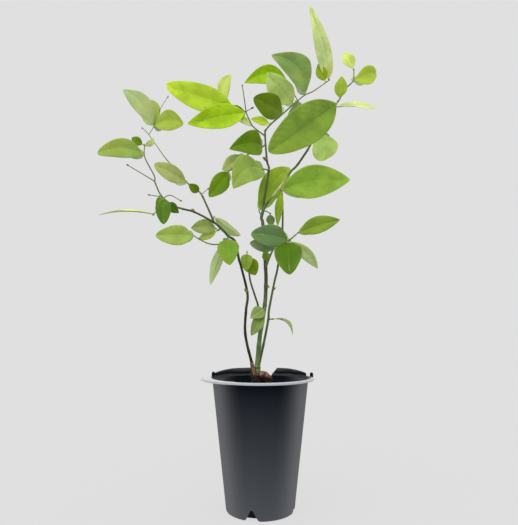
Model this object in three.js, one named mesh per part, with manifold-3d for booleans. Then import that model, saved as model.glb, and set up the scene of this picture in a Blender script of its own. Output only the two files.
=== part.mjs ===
// A young highbush blueberry in a round black nursery pot, in millimetres, +Z up.
// The origin is the middle of the pot's flat underside, and the front of the plant faces -Y.
// A low woody crown forks at the soil into three stems. Boughs go on from the stems and carry leafy shoots.
// Each shoot is one solid: its stem, its side twigs and its leaves.

import * as THREE from 'three';
import { mergeVertices } from 'three/addons/utils/BufferGeometryUtils.js';
import Module from 'manifold-3d';

const wasm = await Module();
wasm.setup();

const GAP = 0.3; // between two pieces that meet
const { degToRad, lerp } = THREE.MathUtils;

// ---- The pot and its filling

const POT = {
  footRadius: 33.1,
  topRadius: 47.6, // of the wall, where it meets the flange
  wall: 1.7,
  floor: 2.2,
  flangeRadius: 53.5,
  flangeTop: 125,
  flangeThickness: 2.2,
  collarRadius: 50,
  collarWall: 1.6,
  height: 130.5,
  edge: 0.7, // chamfer on the rims
  sides: 64,
};
const UNDER_FLANGE = POT.flangeTop - POT.flangeThickness;
const COLLAR_INNER = POT.collarRadius - POT.collarWall;
const COLLAR = { end: 16, endHeight: 2.6, fullFrom: 40 }; // it stands only behind, and gets lower to its ends
const PEGS = { places: [[-48, 12], [51.6, 4]], width: 3.2, length: 3.4, height: 4.4 };
const LUG = { reach: 58.5, rear: 5, corner: 4, bendFrom: -8, pull: [-49, -42], meets: [-24, -47.8] };
const RIM_NOTCH = { left: -4, right: 11.5, rightAtTop: 18.5, bottom: 121.5 };
const DRAIN = { count: 4, halfWidth: 9.5, halfWaist: 3, height: 10, inward: 9.5, firstAt: degToRad(-103.6) };
const OVER = 4; // how far a cut runs past what it cuts
const SOIL = 114;

// ---- The front elevation
// A point of the plant is given as [across, up, back]. Across and up are its place in the front elevation,
// and back is how far it lies behind the pot's axis. The elevation is a perspective on a sheet at
// arm's length, seen by an eye in front of the plant that looks a little upwards.

const EYE = { position: new THREE.Vector3(-1.3, -510, 177), tilt: degToRad(7.1) };
const SHEET = { distance: 500, acrossEye: -2, upEye: 247.5 };
const TO_THE_RIGHT = new THREE.Vector3(1, 0, 0);

function sightLine(across, up) {
  const line = new THREE.Vector3(across - SHEET.acrossEye, SHEET.distance, up - SHEET.upEye);
  return line.applyAxisAngle(TO_THE_RIGHT, EYE.tilt);
}

function at([across, up, back]) {
  const line = sightLine(across, up);
  return line.multiplyScalar((back - EYE.position.y) / line.y).add(EYE.position);
}

function realScale([across, up, back]) {
  // Real size of one millimetre of the sheet, at that point.
  return (back - EYE.position.y) / sightLine(across, up).y;
}

// ---- The limbs
// Each grows from a place on another one, counted in that one's points from 0 at its foot.
// The radius is given at the foot and at the tip.

const STUBS = {
  left_stub: { path: [[-6.5, 118, 1], [-7.4, 134, 0.5], [-9.4, 148, 0]], radius: [4, 1.7] },
  middle_stub: { path: [[-4, 118, 1], [-4.3, 131, 0.5], [-4, 142, 0.5]], radius: [4.6, 2.5] },
  right_stub: { path: [[-2, 118, 4], [-2.6, 132, 4.8], [-2.2, 144, 5.4]], radius: [3.2, 1.5] },
  root_knob: {
    path: [[-5, 120, 0], [-1.5, 131.5, -3], [3, 134, -5], [7, 129, -6], [8, 117, -6]],
    radius: [6, 3.8],
  },
};

const CROWN = { middle: [-0.5, 122, 0], heights: [-5, 0, 4, 8], radius: [11, 5] }; // the flared foot

const LIMBS = {
  left_stem: {
    from: ['left_stub', 2],
    clearOf: ['middle_stub'],
    path: [
      [-14, 166, -4], [-16, 181, -6], [-14.9, 200.5, -8],
      [-13.5, 216, -8], [-19.2, 240.8, -12], [-21.8, 249.5, -14],
    ],
    radius: [1.4, 1.2],
  },
  left_bough: {
    from: ['left_stem', 6],
    path: [
      [-26, 268.4, -16], [-33, 274, -21], [-38.1, 280, -24],
      [-46.9, 287.4, -28], [-65.8, 297.6, -38], [-78, 301, -44],
    ],
    radius: [1.3, 0.95],
  },
  left_upper_bough: {
    from: ['left_bough', 4],
    path: [[-51.7, 298.8, -26], [-58.3, 313.4, -18]],
    radius: [1, 0.85],
  },
  middle_stem: {
    from: ['middle_stub', 2],
    clearOf: ['left_stub', 'right_stub'],
    path: [[-1.5, 170.3, 1], [-0.7, 177.6, 2], [3.9, 206, 4], [5, 230, 7], [4.5, 244, 9]],
    radius: [2.4, 1.8],
  },
  middle_stem_upper: {
    from: ['middle_stem', 5],
    path: [[1.9, 285.3, 14], [0.4, 292, 15], [2.5, 301, 17]],
    radius: [1.8, 1.6],
  },
  upper_bough: {
    from: ['middle_stem_upper', 3],
    path: [[3, 310, 22], [7.8, 339.2, 31], [6, 349, 34], [4.4, 368, 38], [4, 379, 40]],
    radius: [1.5, 1],
  },
  right_bough: {
    from: ['middle_stem_upper', 2.6],
    clearOf: ['upper_bough'],
    path: [[5.6, 306, 13], [19, 323, 7], [29.5, 338, 0], [36, 344.6, -4], [46.3, 359.5, -14]],
    radius: [1.35, 1.1],
  },
  side_stem: {
    from: ['middle_stem', 2.25],
    path: [[-3, 204.3, -2], [-5.3, 212, -4], [-10.4, 228, -12], [-12, 238, -16]],
    radius: [1.05, 0.85],
  },
  right_stem: {
    from: ['right_stub', 2],
    clearOf: ['middle_stub'],
    path: [
      [3.5, 170.3, 7], [7.3, 190.6, 11], [8.1, 200.5, 13],
      [13.4, 228, 19], [16.9, 243.7, 21], [21.5, 280, 25],
    ],
    radius: [1.3, 1.05],
  },
  right_stem_upper: {
    from: ['right_stem', 6],
    path: [[21.8, 298, 26], [21.2, 316, 27]],
    radius: [1.05, 0.85],
  },
};

// ---- The shoots
// A leaf grows at a place on the stem, or on the twig that it names, and reaches its tip. Its width is read
// on the elevation. Roll turns the blade about its length, away from facing the front. Sweep bends it to
// the right of the way it grows. A blunt leaf has a round tip. Where widest is low the leaf is broad near
// its base.

const SHOOTS = {
  foliage_top: {
    from: ['upper_bough', 5],
    stem: [
      [10, 386, 43], [20.7, 395.2, 50], [34.5, 407.5, 56],
      [44, 415, 60], [52.6, 419, 62], [67.8, 429.6, 68],
    ],
    radius: [1, 0.6],
    twigs: { riser: { from: 3.2, path: [[31, 420, 58], [27, 428, 56]] } },
    leaves: [
      { at: 4, tip: [10.7, 455, 30], width: 28, roll: 8, sweep: 0.21, blunt: 0.3 },
      { at: 2.8, tip: [6.5, 437, 20], width: 27, roll: -8, blunt: 0.5 },
      { at: 2.1, tip: [-7, 412, 15], width: 26, roll: 12, blunt: 0.85 },
      { on: 'riser', at: 2, tip: [-16.6, 427, 46], width: 20, sweep: 0.17 },
      { at: 0.95, tip: [-10, 391.5, 30], width: 9.5, roll: 25 },
      { at: 6, tip: [48, 506.5, 40], width: 16, sweep: 0.03, widest: 0.62 },
      { at: 5.8, tip: [57, 446, 60], width: 12 },
      { at: 3.2, tip: [36, 372, 100], width: 18, roll: 170 },
    ],
  },
  foliage_top_right: {
    from: ['right_bough', 5],
    stem: [[59, 382, -23], [77.2, 408.7, -32], [83.7, 420.5, -35], [92, 429, -38], [92.8, 439.5, -38]],
    radius: [1.05, 0.6],
    leaves: [
      { at: 1.95, tip: [8, 358, -52], width: 41, blunt: 0.9, widest: 1 },
      { at: 1.75, tip: [115.7, 400.7, -45], width: 16, roll: -70, sweep: 0.03 },
      { at: 2.1, tip: [80.7, 434, -50], width: 13.5, roll: 10 },
      { at: 4, tip: [116, 437, -30], width: 19, roll: 10, sweep: -0.06, blunt: 1 },
      { at: 5, tip: [83, 457.3, -35], width: 13, roll: 15 },
      { at: 0.85, tip: [62.5, 349, 5], width: 28, roll: -10, sweep: -0.08, blunt: 0.2 },
    ],
  },
  foliage_bright: {
    from: ['upper_bough', 4.5],
    stem: [[-7.3, 382.8, 30], [-11, 389, 27], [-14.7, 397.5, 22], [-16.5, 409.7, 17], [-18.6, 423.8, 12]],
    radius: [0.85, 0.5],
    twigs: { upward: { from: 3, path: [[-26, 402, 14], [-36, 406, 8]] } },
    leaves: [
      { at: 3, tip: [-72.7, 386.7, -10], width: 27, roll: 8 },
      { on: 'upward', at: 1.1, tip: [-95, 425, 0], width: 27, roll: -8, blunt: 0.9 },
      { on: 'upward', at: 2, tip: [-30, 436, 14], width: 13, roll: 10, sweep: -0.15 },
      { at: 3, tip: [-34, 400, 34], width: 12 },
      { at: 1, tip: [-27, 394, 40], width: 9, roll: 30 },
    ],
  },
  foliage_upper_left: {
    from: ['upper_bough', 3.85],
    stem: [[-3, 360, 32], [-15.6, 353.9, 22], [-32.1, 338.7, 10]],
    radius: [0.85, 0.6],
    leaves: [
      { at: 0.4, tip: [-31.5, 361, 8], width: 28, roll: 6, sweep: 0.09, widest: 0.68 },
      { at: 2, tip: [-39, 340, 20], width: 16, roll: 14 },
      { at: 3, tip: [-52, 313, -8], width: 19, roll: -10, blunt: 0.3 },
    ],
  },
  foliage_middle_left: {
    from: ['upper_bough', 2],
    stem: [[5, 340.5, 27], [2, 341, 23]],
    radius: [0.85, 0.7],
    leaves: [
      { at: 1.6, tip: [-28, 321.5, 0], width: 31, roll: 8, sweep: 0.19, blunt: 0.3, widest: 0.74 },
    ],
  },
  foliage_right: {
    from: ['right_stem_upper', 2],
    stem: [[20, 320, 28], [18.5, 324, 29]],
    radius: [0.8, 0.7],
    leaves: [
      { at: 1, tip: [89, 330, 5], width: 35, roll: 4, sweep: -0.06 },
      { at: 0.7, tip: [16.5, 284.5, 18], width: 9, roll: 10 },
    ],
  },
  foliage_fork: {
    from: ['middle_stem_upper', 2.4],
    stem: [[-0.5, 296, 23], [-2, 299, 31]],
    radius: [0.85, 0.7],
    twigs: { low: { from: 1, path: [[4, 299, 28], [8.5, 297, 29]] } },
    leaves: [
      { at: 2, tip: [29.5, 343, 64], width: 24, sweep: -0.06 },
      { on: 'low', at: 2, tip: [10.5, 283.5, 26], width: 9 },
    ],
  },
  foliage_centre: {
    from: ['middle_stem', 4.85],
    clearOf: ['middle_stem_upper'],
    stem: [[7.5, 250, 3], [14, 263, -4], [25, 267.5, -12], [31, 272, -16], [36.7, 277, -20]],
    radius: [1.15, 0.7],
    leaves: [
      { at: 3.5, tip: [-9.5, 276, -30], width: 23.5, sweep: 0.04, blunt: 0.9 },
      { at: 2.3, tip: [-11, 267, -20], width: 16, roll: -10, blunt: 0.8 },
      { at: 3.2, tip: [28.5, 236, -50], width: 31, blunt: 1 },
      { at: 3.4, tip: [56.5, 241, -10], width: 13, roll: 20, sweep: -0.1 },
      { at: 5, tip: [79, 290.3, -35], width: 18, sweep: -0.04 },
      { at: 0.7, tip: [4, 260, 0], width: 9 },
    ],
  },
  foliage_centre_left: {
    from: ['side_stem', 4],
    stem: [[-14, 248, -18], [-14, 257, -20]],
    radius: [0.85, 0.7],
    leaves: [
      { at: 2, tip: [-15, 238.5, -32], width: 13, blunt: 0.5 },
      { at: 1.6, tip: [-5.5, 235, -22], width: 16, blunt: 0.6 },
    ],
  },
  foliage_left_hang: {
    from: ['left_bough', 1.9],
    stem: [
      [-36.5, 267.5, -27], [-44.6, 265.5, -30], [-52.7, 266.5, -36],
      [-61, 270.4, -42], [-67, 274.2, -46],
    ],
    radius: [0.8, 0.55],
    leaves: [
      { at: 0.35, tip: [-31, 245, -50], width: 24, blunt: 0.6 },
      { at: 0.8, tip: [-51, 225, -15], width: 12, roll: 158 },
      { at: 5, tip: [-105.5, 274.5, -70], width: 22, roll: 6, blunt: 0.8 },
    ],
  },
  foliage_left_low: {
    from: ['left_bough', 3.3],
    stem: [[-43, 279.5, -20], [-44.6, 281, -18]],
    radius: [0.8, 0.7],
    leaves: [
      { at: 0.8, tip: [-70, 282, -21], width: 16, roll: 6, sweep: 0.08 },
      { at: 1, tip: [-63, 270.5, -22], width: 9 },
    ],
  },
  foliage_left_back: {
    from: ['left_bough', 4.1],
    clearOf: ['left_upper_bough'],
    stem: [[-47.5, 291.5, -20], [-47, 293, -16]],
    radius: [0.8, 0.7],
    leaves: [
      { at: 2, tip: [-20.5, 274.5, 6], width: 13, roll: 150, blunt: 0.7 },
    ],
  },
  foliage_left_outer: {
    from: ['left_bough', 6],
    stem: [
      [-86.6, 304, -48], [-98.8, 313, -54], [-105.9, 327.5, -57],
      [-106.7, 334.2, -58], [-116, 352.2, -60], [-116.5, 364, -58],
    ],
    radius: [0.9, 0.5],
    twigs: {
      inward: { from: 1.9, path: [[-90.8, 314.8, -48], [-80.9, 309.6, -44]] },
      lower: { from: 2, path: [[-111, 315, -58]] },
      hanging: { from: 1.9, path: [[-102, 303, -46], [-107, 296, -42]] },
      outward: { from: 3.1, path: [[-111, 331.5, -60], [-132.7, 344.5, -66]] },
    },
    leaves: [
      { at: 5.2, tip: [-163.5, 357, -80], width: 21, roll: 8, sweep: 0.11, blunt: 1 },
      { at: 6, tip: [-129.5, 372.5, -60], width: 9 },
      { at: 5.9, tip: [-107, 372, -64], width: 8, roll: 30 },
      { at: 1.9, tip: [-97.5, 286, -68], width: 16.5, blunt: 0.9 },
      { at: 2.1, tip: [-105, 303.5, -62], width: 6 },
      { at: 1.6, tip: [-82, 297, -54], width: 11, roll: 10 },
      { on: 'hanging', at: 2, tip: [-163.5, 294.5, -30], width: 10, roll: 85, sweep: -0.02 },
    ],
  },
  foliage_left_upper: {
    from: ['left_upper_bough', 2],
    stem: [
      [-62, 318.4, -15], [-73.5, 327, -6], [-83.3, 338.6, 1],
      [-95.6, 352, 12], [-112.3, 375.4, 22], [-118.4, 381.5, 26],
    ],
    radius: [0.85, 0.4],
    twigs: {
      inward: { from: 0.5, path: [[-53.3, 320.8, -22]] },
      upward: { from: 5, path: [[-107.7, 383, 24], [-101, 400.4, 28], [-93.4, 412.6, 30]] },
    },
    leaves: [
      { at: 0.8, tip: [-72.5, 326, -28], width: 9.5 },
      { at: 2, tip: [-106.5, 346, -20], width: 17.5, roll: 8, blunt: 1 },
      { on: 'upward', at: 1.1, tip: [-138, 420.5, 10], width: 19.5, roll: 12, sweep: 0.09 },
      { on: 'upward', at: 1, tip: [-77.5, 386.5, 36], width: 21, roll: 6, sweep: -0.17, blunt: 0.4 },
      { on: 'upward', at: 1.2, tip: [-109, 411, 36], width: 14, roll: 10 },
    ],
  },
  foliage_low: {
    from: ['middle_stem', 2.95],
    stem: [[3.6, 201, -1], [2.6, 197, -3]],
    radius: [0.8, 0.7],
    leaves: [
      { at: 0.9, tip: [-10.5, 191.5, -13], width: 15, roll: 8 },
      { at: 2, tip: [-9.9, 174.5, -14], width: 13 },
    ],
  },
  foliage_low_right: {
    from: ['right_stem', 2],
    stem: [[11.1, 191, 8]],
    radius: [0.75, 0.65],
    leaves: [
      { at: 1, tip: [31.6, 174.7, 0], width: 10, roll: -74, sweep: -0.16 },
    ],
  },
};

// Behind each broad leaf the shoot bears a second one, on its far side.
const FAR_LEAF = {
  widerThan: 16,
  along: 0.62, // the part of the front leaf's rib that hides its tip
  behind: [46, 64],
  roll: [150, 210],
  width: 0.66, // of the front leaf
  clearance: 1.5,
};

// ---- Solids

function seeded(seed) {
  // The same row of numbers between 0 and 1 for the same seed.
  let state = seed;
  return () => {
    state = (state + 0x6d2b79f5) >>> 0;
    let mixed = Math.imul(state ^ (state >>> 15), state | 1);
    mixed ^= mixed + Math.imul(mixed ^ (mixed >>> 7), mixed | 61);
    return ((mixed ^ (mixed >>> 14)) >>> 0) / 2 ** 32;
  };
}

function toSolid(geometry) {
  // A closed geometry becomes a solid once its corners are shared.
  geometry.deleteAttribute('normal');
  geometry.deleteAttribute('uv');
  const shared = mergeVertices(geometry, 1e-4);
  const vertProperties = new Float32Array(shared.attributes.position.array);
  const triVerts = new Uint32Array(shared.index.array);
  return new wasm.Manifold(new wasm.Mesh({ numProp: 3, vertProperties, triVerts }));
}

function toGeometry(solid) {
  const mesh = solid.getMesh();
  const geometry = new THREE.BufferGeometry();
  geometry.setAttribute('position', new THREE.BufferAttribute(mesh.vertProperties, 3));
  geometry.setIndex(new THREE.BufferAttribute(mesh.triVerts, 1));
  geometry.computeVertexNormals();
  return geometry;
}

function joined(solids) {
  return solids.reduce((whole, next) => whole.add(next));
}

function biggestPart(solid) {
  return solid.decompose().reduce((best, next) => (next.volume() > best.volume() ? next : best));
}

function skinned(rings) {
  // A closed skin over a row of rings with equally many corners.
  const count = rings[0].length;
  const last = (rings.length - 1) * count;
  const faces = [];
  for (let start = 0; start < last; start += count) {
    for (let k = 0; k < count; k += 1) {
      const here = start + k;
      const next = start + ((k + 1) % count);
      faces.push(here, next, next + count, here, next + count, here + count);
    }
  }
  for (let k = 1; k + 1 < count; k += 1) {
    faces.push(0, k + 1, k, last, last + k, last + k + 1);
  }
  const geometry = new THREE.BufferGeometry().setFromPoints(rings.flat());
  geometry.setIndex(faces);
  return toSolid(geometry);
}

// ---- Limbs

function curveThrough(points) {
  return new THREE.CatmullRomCurve3(points, false, 'catmullrom', 0.5);
}

function pointOn(points, place) {
  return curveThrough(points).getPoint(place / (points.length - 1));
}

function tube(points, [footRadius, tipRadius], { sides = 8, grow = 0 } = {}) {
  // A round, tapering limb along the curve through its points. Grown, it is that much bigger all round.
  const curve = curveThrough(points);
  const last = points.length - 1;
  let across = new THREE.Vector3(1, 0, 0);
  const rings = [];
  for (let step = 0; step <= last; step += 1) {
    const along = curve.getTangent(step / last);
    const centre = curve.getPoint(step / last);
    if (step === 0) {
      centre.addScaledVector(along, -grow);
    } else if (step === last) {
      centre.addScaledVector(along, grow);
    }
    across = across.clone().addScaledVector(along, -across.dot(along)).normalize();
    const other = along.clone().cross(across);
    const radius = lerp(footRadius, tipRadius, step / last) + grow;
    rings.push(Array.from({ length: sides }, (_, k) => {
      const turn = (2 * Math.PI * k) / sides;
      return centre.clone()
        .addScaledVector(across, radius * Math.cos(turn))
        .addScaledVector(other, radius * Math.sin(turn));
    }));
  }
  return skinned(rings);
}

const limbs = {}; // name: points in space and radius

function addLimb(name, row) {
  const start = row.from ? [pointOn(limbs[row.from[0]].points, row.from[1])] : [];
  limbs[name] = { points: [...start, ...row.path.map(at)], radius: row.radius };
}

function cutClear(solid, names) {
  // What is left of a piece beside the limbs that it grows from.
  const grown = names.map((name) => tube(limbs[name].points, limbs[name].radius, { grow: GAP }));
  return biggestPart(grown.reduce((kept, limb) => kept.subtract(limb), solid));
}

function limbSolid(name, row) {
  return cutClear(tube(limbs[name].points, row.radius), [row.from[0], ...(row.clearOf ?? [])]);
}

function crown() {
  // The woody crown: a flared foot, a stub for each stem and a knob of old root, cut flat at the soil.
  const ground = SOIL + GAP;
  const middle = at(CROWN.middle);
  const flare = CROWN.heights.map((height) => new THREE.Vector3(middle.x, middle.y, ground + height));
  const stubs = Object.keys(STUBS).map((name) => tube(limbs[name].points, limbs[name].radius));
  const soil = new THREE.BoxGeometry(2 * POT.topRadius, 2 * POT.topRadius, SOIL);
  soil.translate(0, 0, ground - SOIL / 2);
  return joined([tube(flare, CROWN.radius, { sides: 12 }), ...stubs]).subtract(toSolid(soil));
}

// ---- Leaves

const LEAF = {
  petiole: 2.4, // bare stalk between the twig and the blade
  petioleHalf: 0.6,
  thickness: 0.85,
  thickPart: 1 / 92, // of the length, where that is more
  edge: 0.7, // thickness at the edge, part of the thickness at the rib
  stations: [0, 0.1, 0.26, 0.48, 0.7, 0.89, 1],
  bow: [0.03, 0.08],
  fold: [8, 24],
  twist: [-9, 9],
  widest: [0.82, 0.96],
  fullness: [0.8, 0.5], // lower is rounder: at the base, and at a blunt tip
};

function leafShape(row, base, tip, width, random) {
  // The blade's axes, arch and fold. What varies by itself is drawn from the shoot's row of numbers.
  const along = tip.clone().sub(base);
  const length = along.length();
  along.divideScalar(length);
  const face = EYE.position.clone().sub(base);
  face.addScaledVector(along, -face.dot(along)).normalize();
  const sideways = along.clone().cross(face);
  face.applyAxisAngle(along, degToRad(row.roll ?? 0));
  const leaf = {
    base,
    length,
    along,
    face,
    sideways,
    side: along.clone().cross(face),
    half: width / 2,
    sweep: row.sweep ?? 0,
    blunt: row.blunt ?? 0,
    bow: lerp(...LEAF.bow, random()),
    fold: degToRad(lerp(...LEAF.fold, random())),
    twist: degToRad(lerp(...LEAF.twist, random())),
    widest: lerp(...LEAF.widest, random()),
  };
  return { ...leaf, widest: row.widest ?? leaf.widest };
}

function midrib(leaf, s) {
  const arch = 4 * s * (1 - s) * leaf.length;
  return leaf.base.clone()
    .addScaledVector(leaf.along, s * leaf.length)
    .addScaledVector(leaf.face, arch * leaf.bow)
    .addScaledVector(leaf.sideways, arch * leaf.sweep);
}

function halfWidth(leaf, s) {
  const bare = Math.min(0.3, LEAF.petiole / leaf.length);
  const u = Math.max(0, (s - bare) / (1 - bare));
  const fullness = lerp(...LEAF.fullness, leaf.blunt * u);
  const blade = leaf.half * Math.sin(Math.PI * Math.min(1, u ** leaf.widest)) ** fullness;
  return Math.max(LEAF.petioleHalf * (1 - 0.5 * s), blade);
}

function leafSolid(leaf) {
  // Six-cornered sections: an upper and a lower corner at each edge and at the rib.
  const thick = Math.max(LEAF.thickness, leaf.length * LEAF.thickPart) / 2;
  const rings = LEAF.stations.map((s) => {
    const middle = midrib(leaf, s);
    const turn = leaf.twist * (2 * s - 1);
    const face = leaf.face.clone().applyAxisAngle(leaf.along, turn);
    const side = leaf.side.clone().applyAxisAngle(leaf.along, turn);
    const spread = halfWidth(leaf, s) * Math.cos(leaf.fold);
    const lift = halfWidth(leaf, s) * Math.sin(leaf.fold);
    const corner = (x, y) => middle.clone().addScaledVector(side, x).addScaledVector(face, y);
    return [
      corner(0, thick),
      corner(spread, lift + thick * LEAF.edge),
      corner(spread, lift - thick * LEAF.edge),
      corner(0, -thick),
      corner(-spread, lift - thick * LEAF.edge),
      corner(-spread, lift + thick * LEAF.edge),
    ];
  });
  return skinned(rings);
}

// ---- Shoots

const SPHERES = { perSpan: 6, onLeaf: [0.3, 0.45, 0.6, 0.75, 0.9, 1], partOfWidth: 0.7 };
const taken = []; // spheres along all that is placed: owner, centre and radius

function take(owner, centre, radius) {
  taken.push({ owner, centre, radius });
}

function takeLimb(owner, points, radius) {
  const last = (points.length - 1) * SPHERES.perSpan;
  for (let step = 0; step <= last; step += 1) {
    take(owner, pointOn(points, step / SPHERES.perSpan), radius);
  }
}

function leafSpheres(leaf) {
  return SPHERES.onLeaf.map((s) => (
    { centre: midrib(leaf, s), radius: halfWidth(leaf, s) * SPHERES.partOfWidth }
  ));
}

function isFree(owner, leaf) {
  return leafSpheres(leaf).every(({ centre, radius }) => taken.every((other) => (
    other.owner === owner || centre.distanceTo(other.centre) > radius + other.radius + FAR_LEAF.clearance
  )));
}

function planShoot(name, row, seed) {
  // Where the shoot's stem, twigs and listed leaves lie.
  const random = seeded(seed);
  const start = pointOn(limbs[row.from[0]].points, row.from[1]);
  const stem = [start, ...row.stem.map(at)];
  const twigs = {};
  for (const [twig, { from, path }] of Object.entries(row.twigs ?? {})) {
    twigs[twig] = [pointOn(stem, from), ...path.map(at)];
  }
  const leaves = row.leaves.map((leaf) => {
    const base = pointOn(leaf.on ? twigs[leaf.on] : stem, leaf.at);
    return leafShape(leaf, base, at(leaf.tip), leaf.width * realScale(leaf.tip), random);
  });
  [stem, ...Object.values(twigs)].forEach((points) => takeLimb(name, points, row.radius[0]));
  leaves.flatMap(leafSpheres).forEach(({ centre, radius }) => take(name, centre, radius));
  return { name, row, stem, twigs, leaves, random };
}

function addFarLeaves(plan) {
  // The leaves on the far side of the shoot, each hidden from the front by a listed one. One that would
  // touch a limb or another shoot is skipped.
  for (const front of plan.leaves.filter((leaf) => leaf.half * 2 > FAR_LEAF.widerThan)) {
    const behind = lerp(...FAR_LEAF.behind, plan.random());
    const tip = midrib(front, FAR_LEAF.along);
    tip.lerp(EYE.position, -behind / (tip.y - EYE.position.y));
    const row = { roll: lerp(...FAR_LEAF.roll, plan.random()) };
    const leaf = leafShape(row, front.base, tip, 2 * front.half * FAR_LEAF.width, plan.random);
    if (isFree(plan.name, leaf)) {
      leafSpheres(leaf).forEach(({ centre, radius }) => take(plan.name, centre, radius));
      plan.leaves.push(leaf);
    }
  }
}

function shootSolid({ row, stem, twigs, leaves }) {
  // Stem, twigs and leaves in one. The leaves' roots start in the middle of the twig.
  const twigRadius = [row.radius[1], row.radius[1] * 0.8];
  const whole = joined([
    tube(stem, row.radius, { sides: 6 }),
    ...Object.values(twigs).map((points) => tube(points, twigRadius, { sides: 5 })),
    ...leaves.map(leafSolid),
  ]);
  return cutClear(whole, [row.from[0], ...(row.clearOf ?? [])]);
}

// ---- The pot

function turned(profile) {
  // A profile of [radius, height] turned about the pot's axis.
  const points = profile.map(([radius, height]) => new THREE.Vector2(radius, height));
  return toSolid(new THREE.LatheGeometry(points, POT.sides).rotateX(Math.PI / 2));
}

function potShell() {
  return turned([
    [0, 0],
    [POT.footRadius - POT.edge, 0],
    [POT.footRadius, POT.edge],
    [POT.topRadius, UNDER_FLANGE],
    [POT.flangeRadius - POT.edge, UNDER_FLANGE],
    [POT.flangeRadius, UNDER_FLANGE + POT.edge],
    [POT.flangeRadius, POT.flangeTop - POT.edge],
    [POT.flangeRadius - POT.edge, POT.flangeTop],
    [POT.collarRadius, POT.flangeTop],
    [POT.collarRadius, POT.height - POT.edge],
    [POT.collarRadius - POT.edge, POT.height],
    [COLLAR_INNER, POT.height],
    [COLLAR_INNER, POT.flangeTop],
    [POT.topRadius - POT.wall, UNDER_FLANGE],
    [POT.footRadius - POT.wall, POT.floor],
    [0, POT.floor],
  ]);
}

function lug() {
  // The finger lug: the flange runs out to one side, bending away from its own round in front.
  const left = -LUG.reach;
  const centre = [left + LUG.corner, LUG.rear - LUG.corner];
  const outline = new THREE.Shape();
  outline.moveTo(0, LUG.rear);
  outline.lineTo(left + LUG.corner, LUG.rear);
  outline.absarc(...centre, LUG.corner, Math.PI / 2, Math.PI, false);
  outline.lineTo(left, LUG.bendFrom);
  outline.quadraticCurveTo(...LUG.pull, ...LUG.meets);
  outline.lineTo(0, 0);
  const depth = POT.flangeThickness;
  const plate = new THREE.ExtrudeGeometry(outline, { depth, bevelEnabled: false, curveSegments: 6 });
  plate.translate(0, 0, UNDER_FLANGE);
  const inside = new THREE.CylinderGeometry(COLLAR_INNER, COLLAR_INNER, OVER * depth, POT.sides);
  inside.rotateX(Math.PI / 2).translate(0, 0, POT.flangeTop);
  return toSolid(plate).subtract(toSolid(inside));
}

function peg([x, y]) {
  // A short upright peg with a round top, standing on the flange at an end of the collar.
  const half = PEGS.width / 2;
  const outline = new THREE.Shape();
  outline.moveTo(-half, -1);
  outline.lineTo(half, -1);
  outline.lineTo(half, PEGS.height - half);
  outline.absarc(0, PEGS.height - half, half, 0, Math.PI, false);
  const depth = PEGS.length;
  const upright = new THREE.ExtrudeGeometry(outline, { depth, bevelEnabled: false, curveSegments: 4 });
  return toSolid(upright.rotateX(Math.PI / 2).translate(x, y + depth / 2, POT.flangeTop));
}

function collarCut() {
  // What is cut away of the collar, seen from the side: all in front, and a slope down to its ends.
  const low = POT.flangeTop;
  const top = POT.height + OVER;
  const outline = new THREE.Shape([
    new THREE.Vector2(-POT.flangeRadius, low),
    new THREE.Vector2(COLLAR.end, low),
    new THREE.Vector2(COLLAR.end, low + COLLAR.endHeight),
    new THREE.Vector2(COLLAR.fullFrom, POT.height),
    new THREE.Vector2(COLLAR.fullFrom, top),
    new THREE.Vector2(-POT.flangeRadius, top),
  ]);
  const depth = 2 * POT.flangeRadius;
  const cut = new THREE.ExtrudeGeometry(outline, { depth, bevelEnabled: false });
  return toSolid(cut.rotateX(Math.PI / 2).rotateZ(Math.PI / 2).translate(-depth / 2, 0, 0));
}

function rimNotch() {
  // A gap in the back of the rim, with one slanted side.
  const top = POT.height + OVER;
  const lean = (RIM_NOTCH.rightAtTop - RIM_NOTCH.right) / (POT.height - RIM_NOTCH.bottom);
  const outline = new THREE.Shape([
    new THREE.Vector2(RIM_NOTCH.left, RIM_NOTCH.bottom),
    new THREE.Vector2(RIM_NOTCH.right, RIM_NOTCH.bottom),
    new THREE.Vector2(RIM_NOTCH.right + lean * (top - RIM_NOTCH.bottom), top),
    new THREE.Vector2(RIM_NOTCH.left, top),
  ]);
  const depth = POT.flangeRadius - POT.footRadius;
  const cut = new THREE.ExtrudeGeometry(outline, { depth, bevelEnabled: false });
  return toSolid(cut.rotateX(Math.PI / 2).translate(0, POT.flangeRadius, 0));
}

function drainArch(angle) {
  // A bell-shaped opening at the foot of the wall, cut through the wall and the edge of the floor.
  const { halfWidth: half, halfWaist: waist, height, inward } = DRAIN;
  const outline = new THREE.Shape();
  outline.moveTo(-half, -1);
  outline.bezierCurveTo(-waist, 1, -waist, height, 0, height);
  outline.bezierCurveTo(waist, height, waist, 1, half, -1);
  const depth = inward + OVER;
  const cut = new THREE.ExtrudeGeometry(outline, { depth, bevelEnabled: false, curveSegments: 6 });
  cut.rotateX(Math.PI / 2).translate(0, POT.footRadius + OVER, 0);
  return toSolid(cut.rotateZ(angle - Math.PI / 2));
}

function pot() {
  const rim = potShell().subtract(collarCut());
  const whole = joined([rim, lug(), ...PEGS.places.map(peg)]);
  const cuts = [rimNotch()];
  for (let k = 0; k < DRAIN.count; k += 1) {
    cuts.push(drainArch(DRAIN.firstAt + (2 * Math.PI * k) / DRAIN.count));
  }
  return cuts.reduce((kept, cut) => kept.subtract(cut), whole);
}

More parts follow.
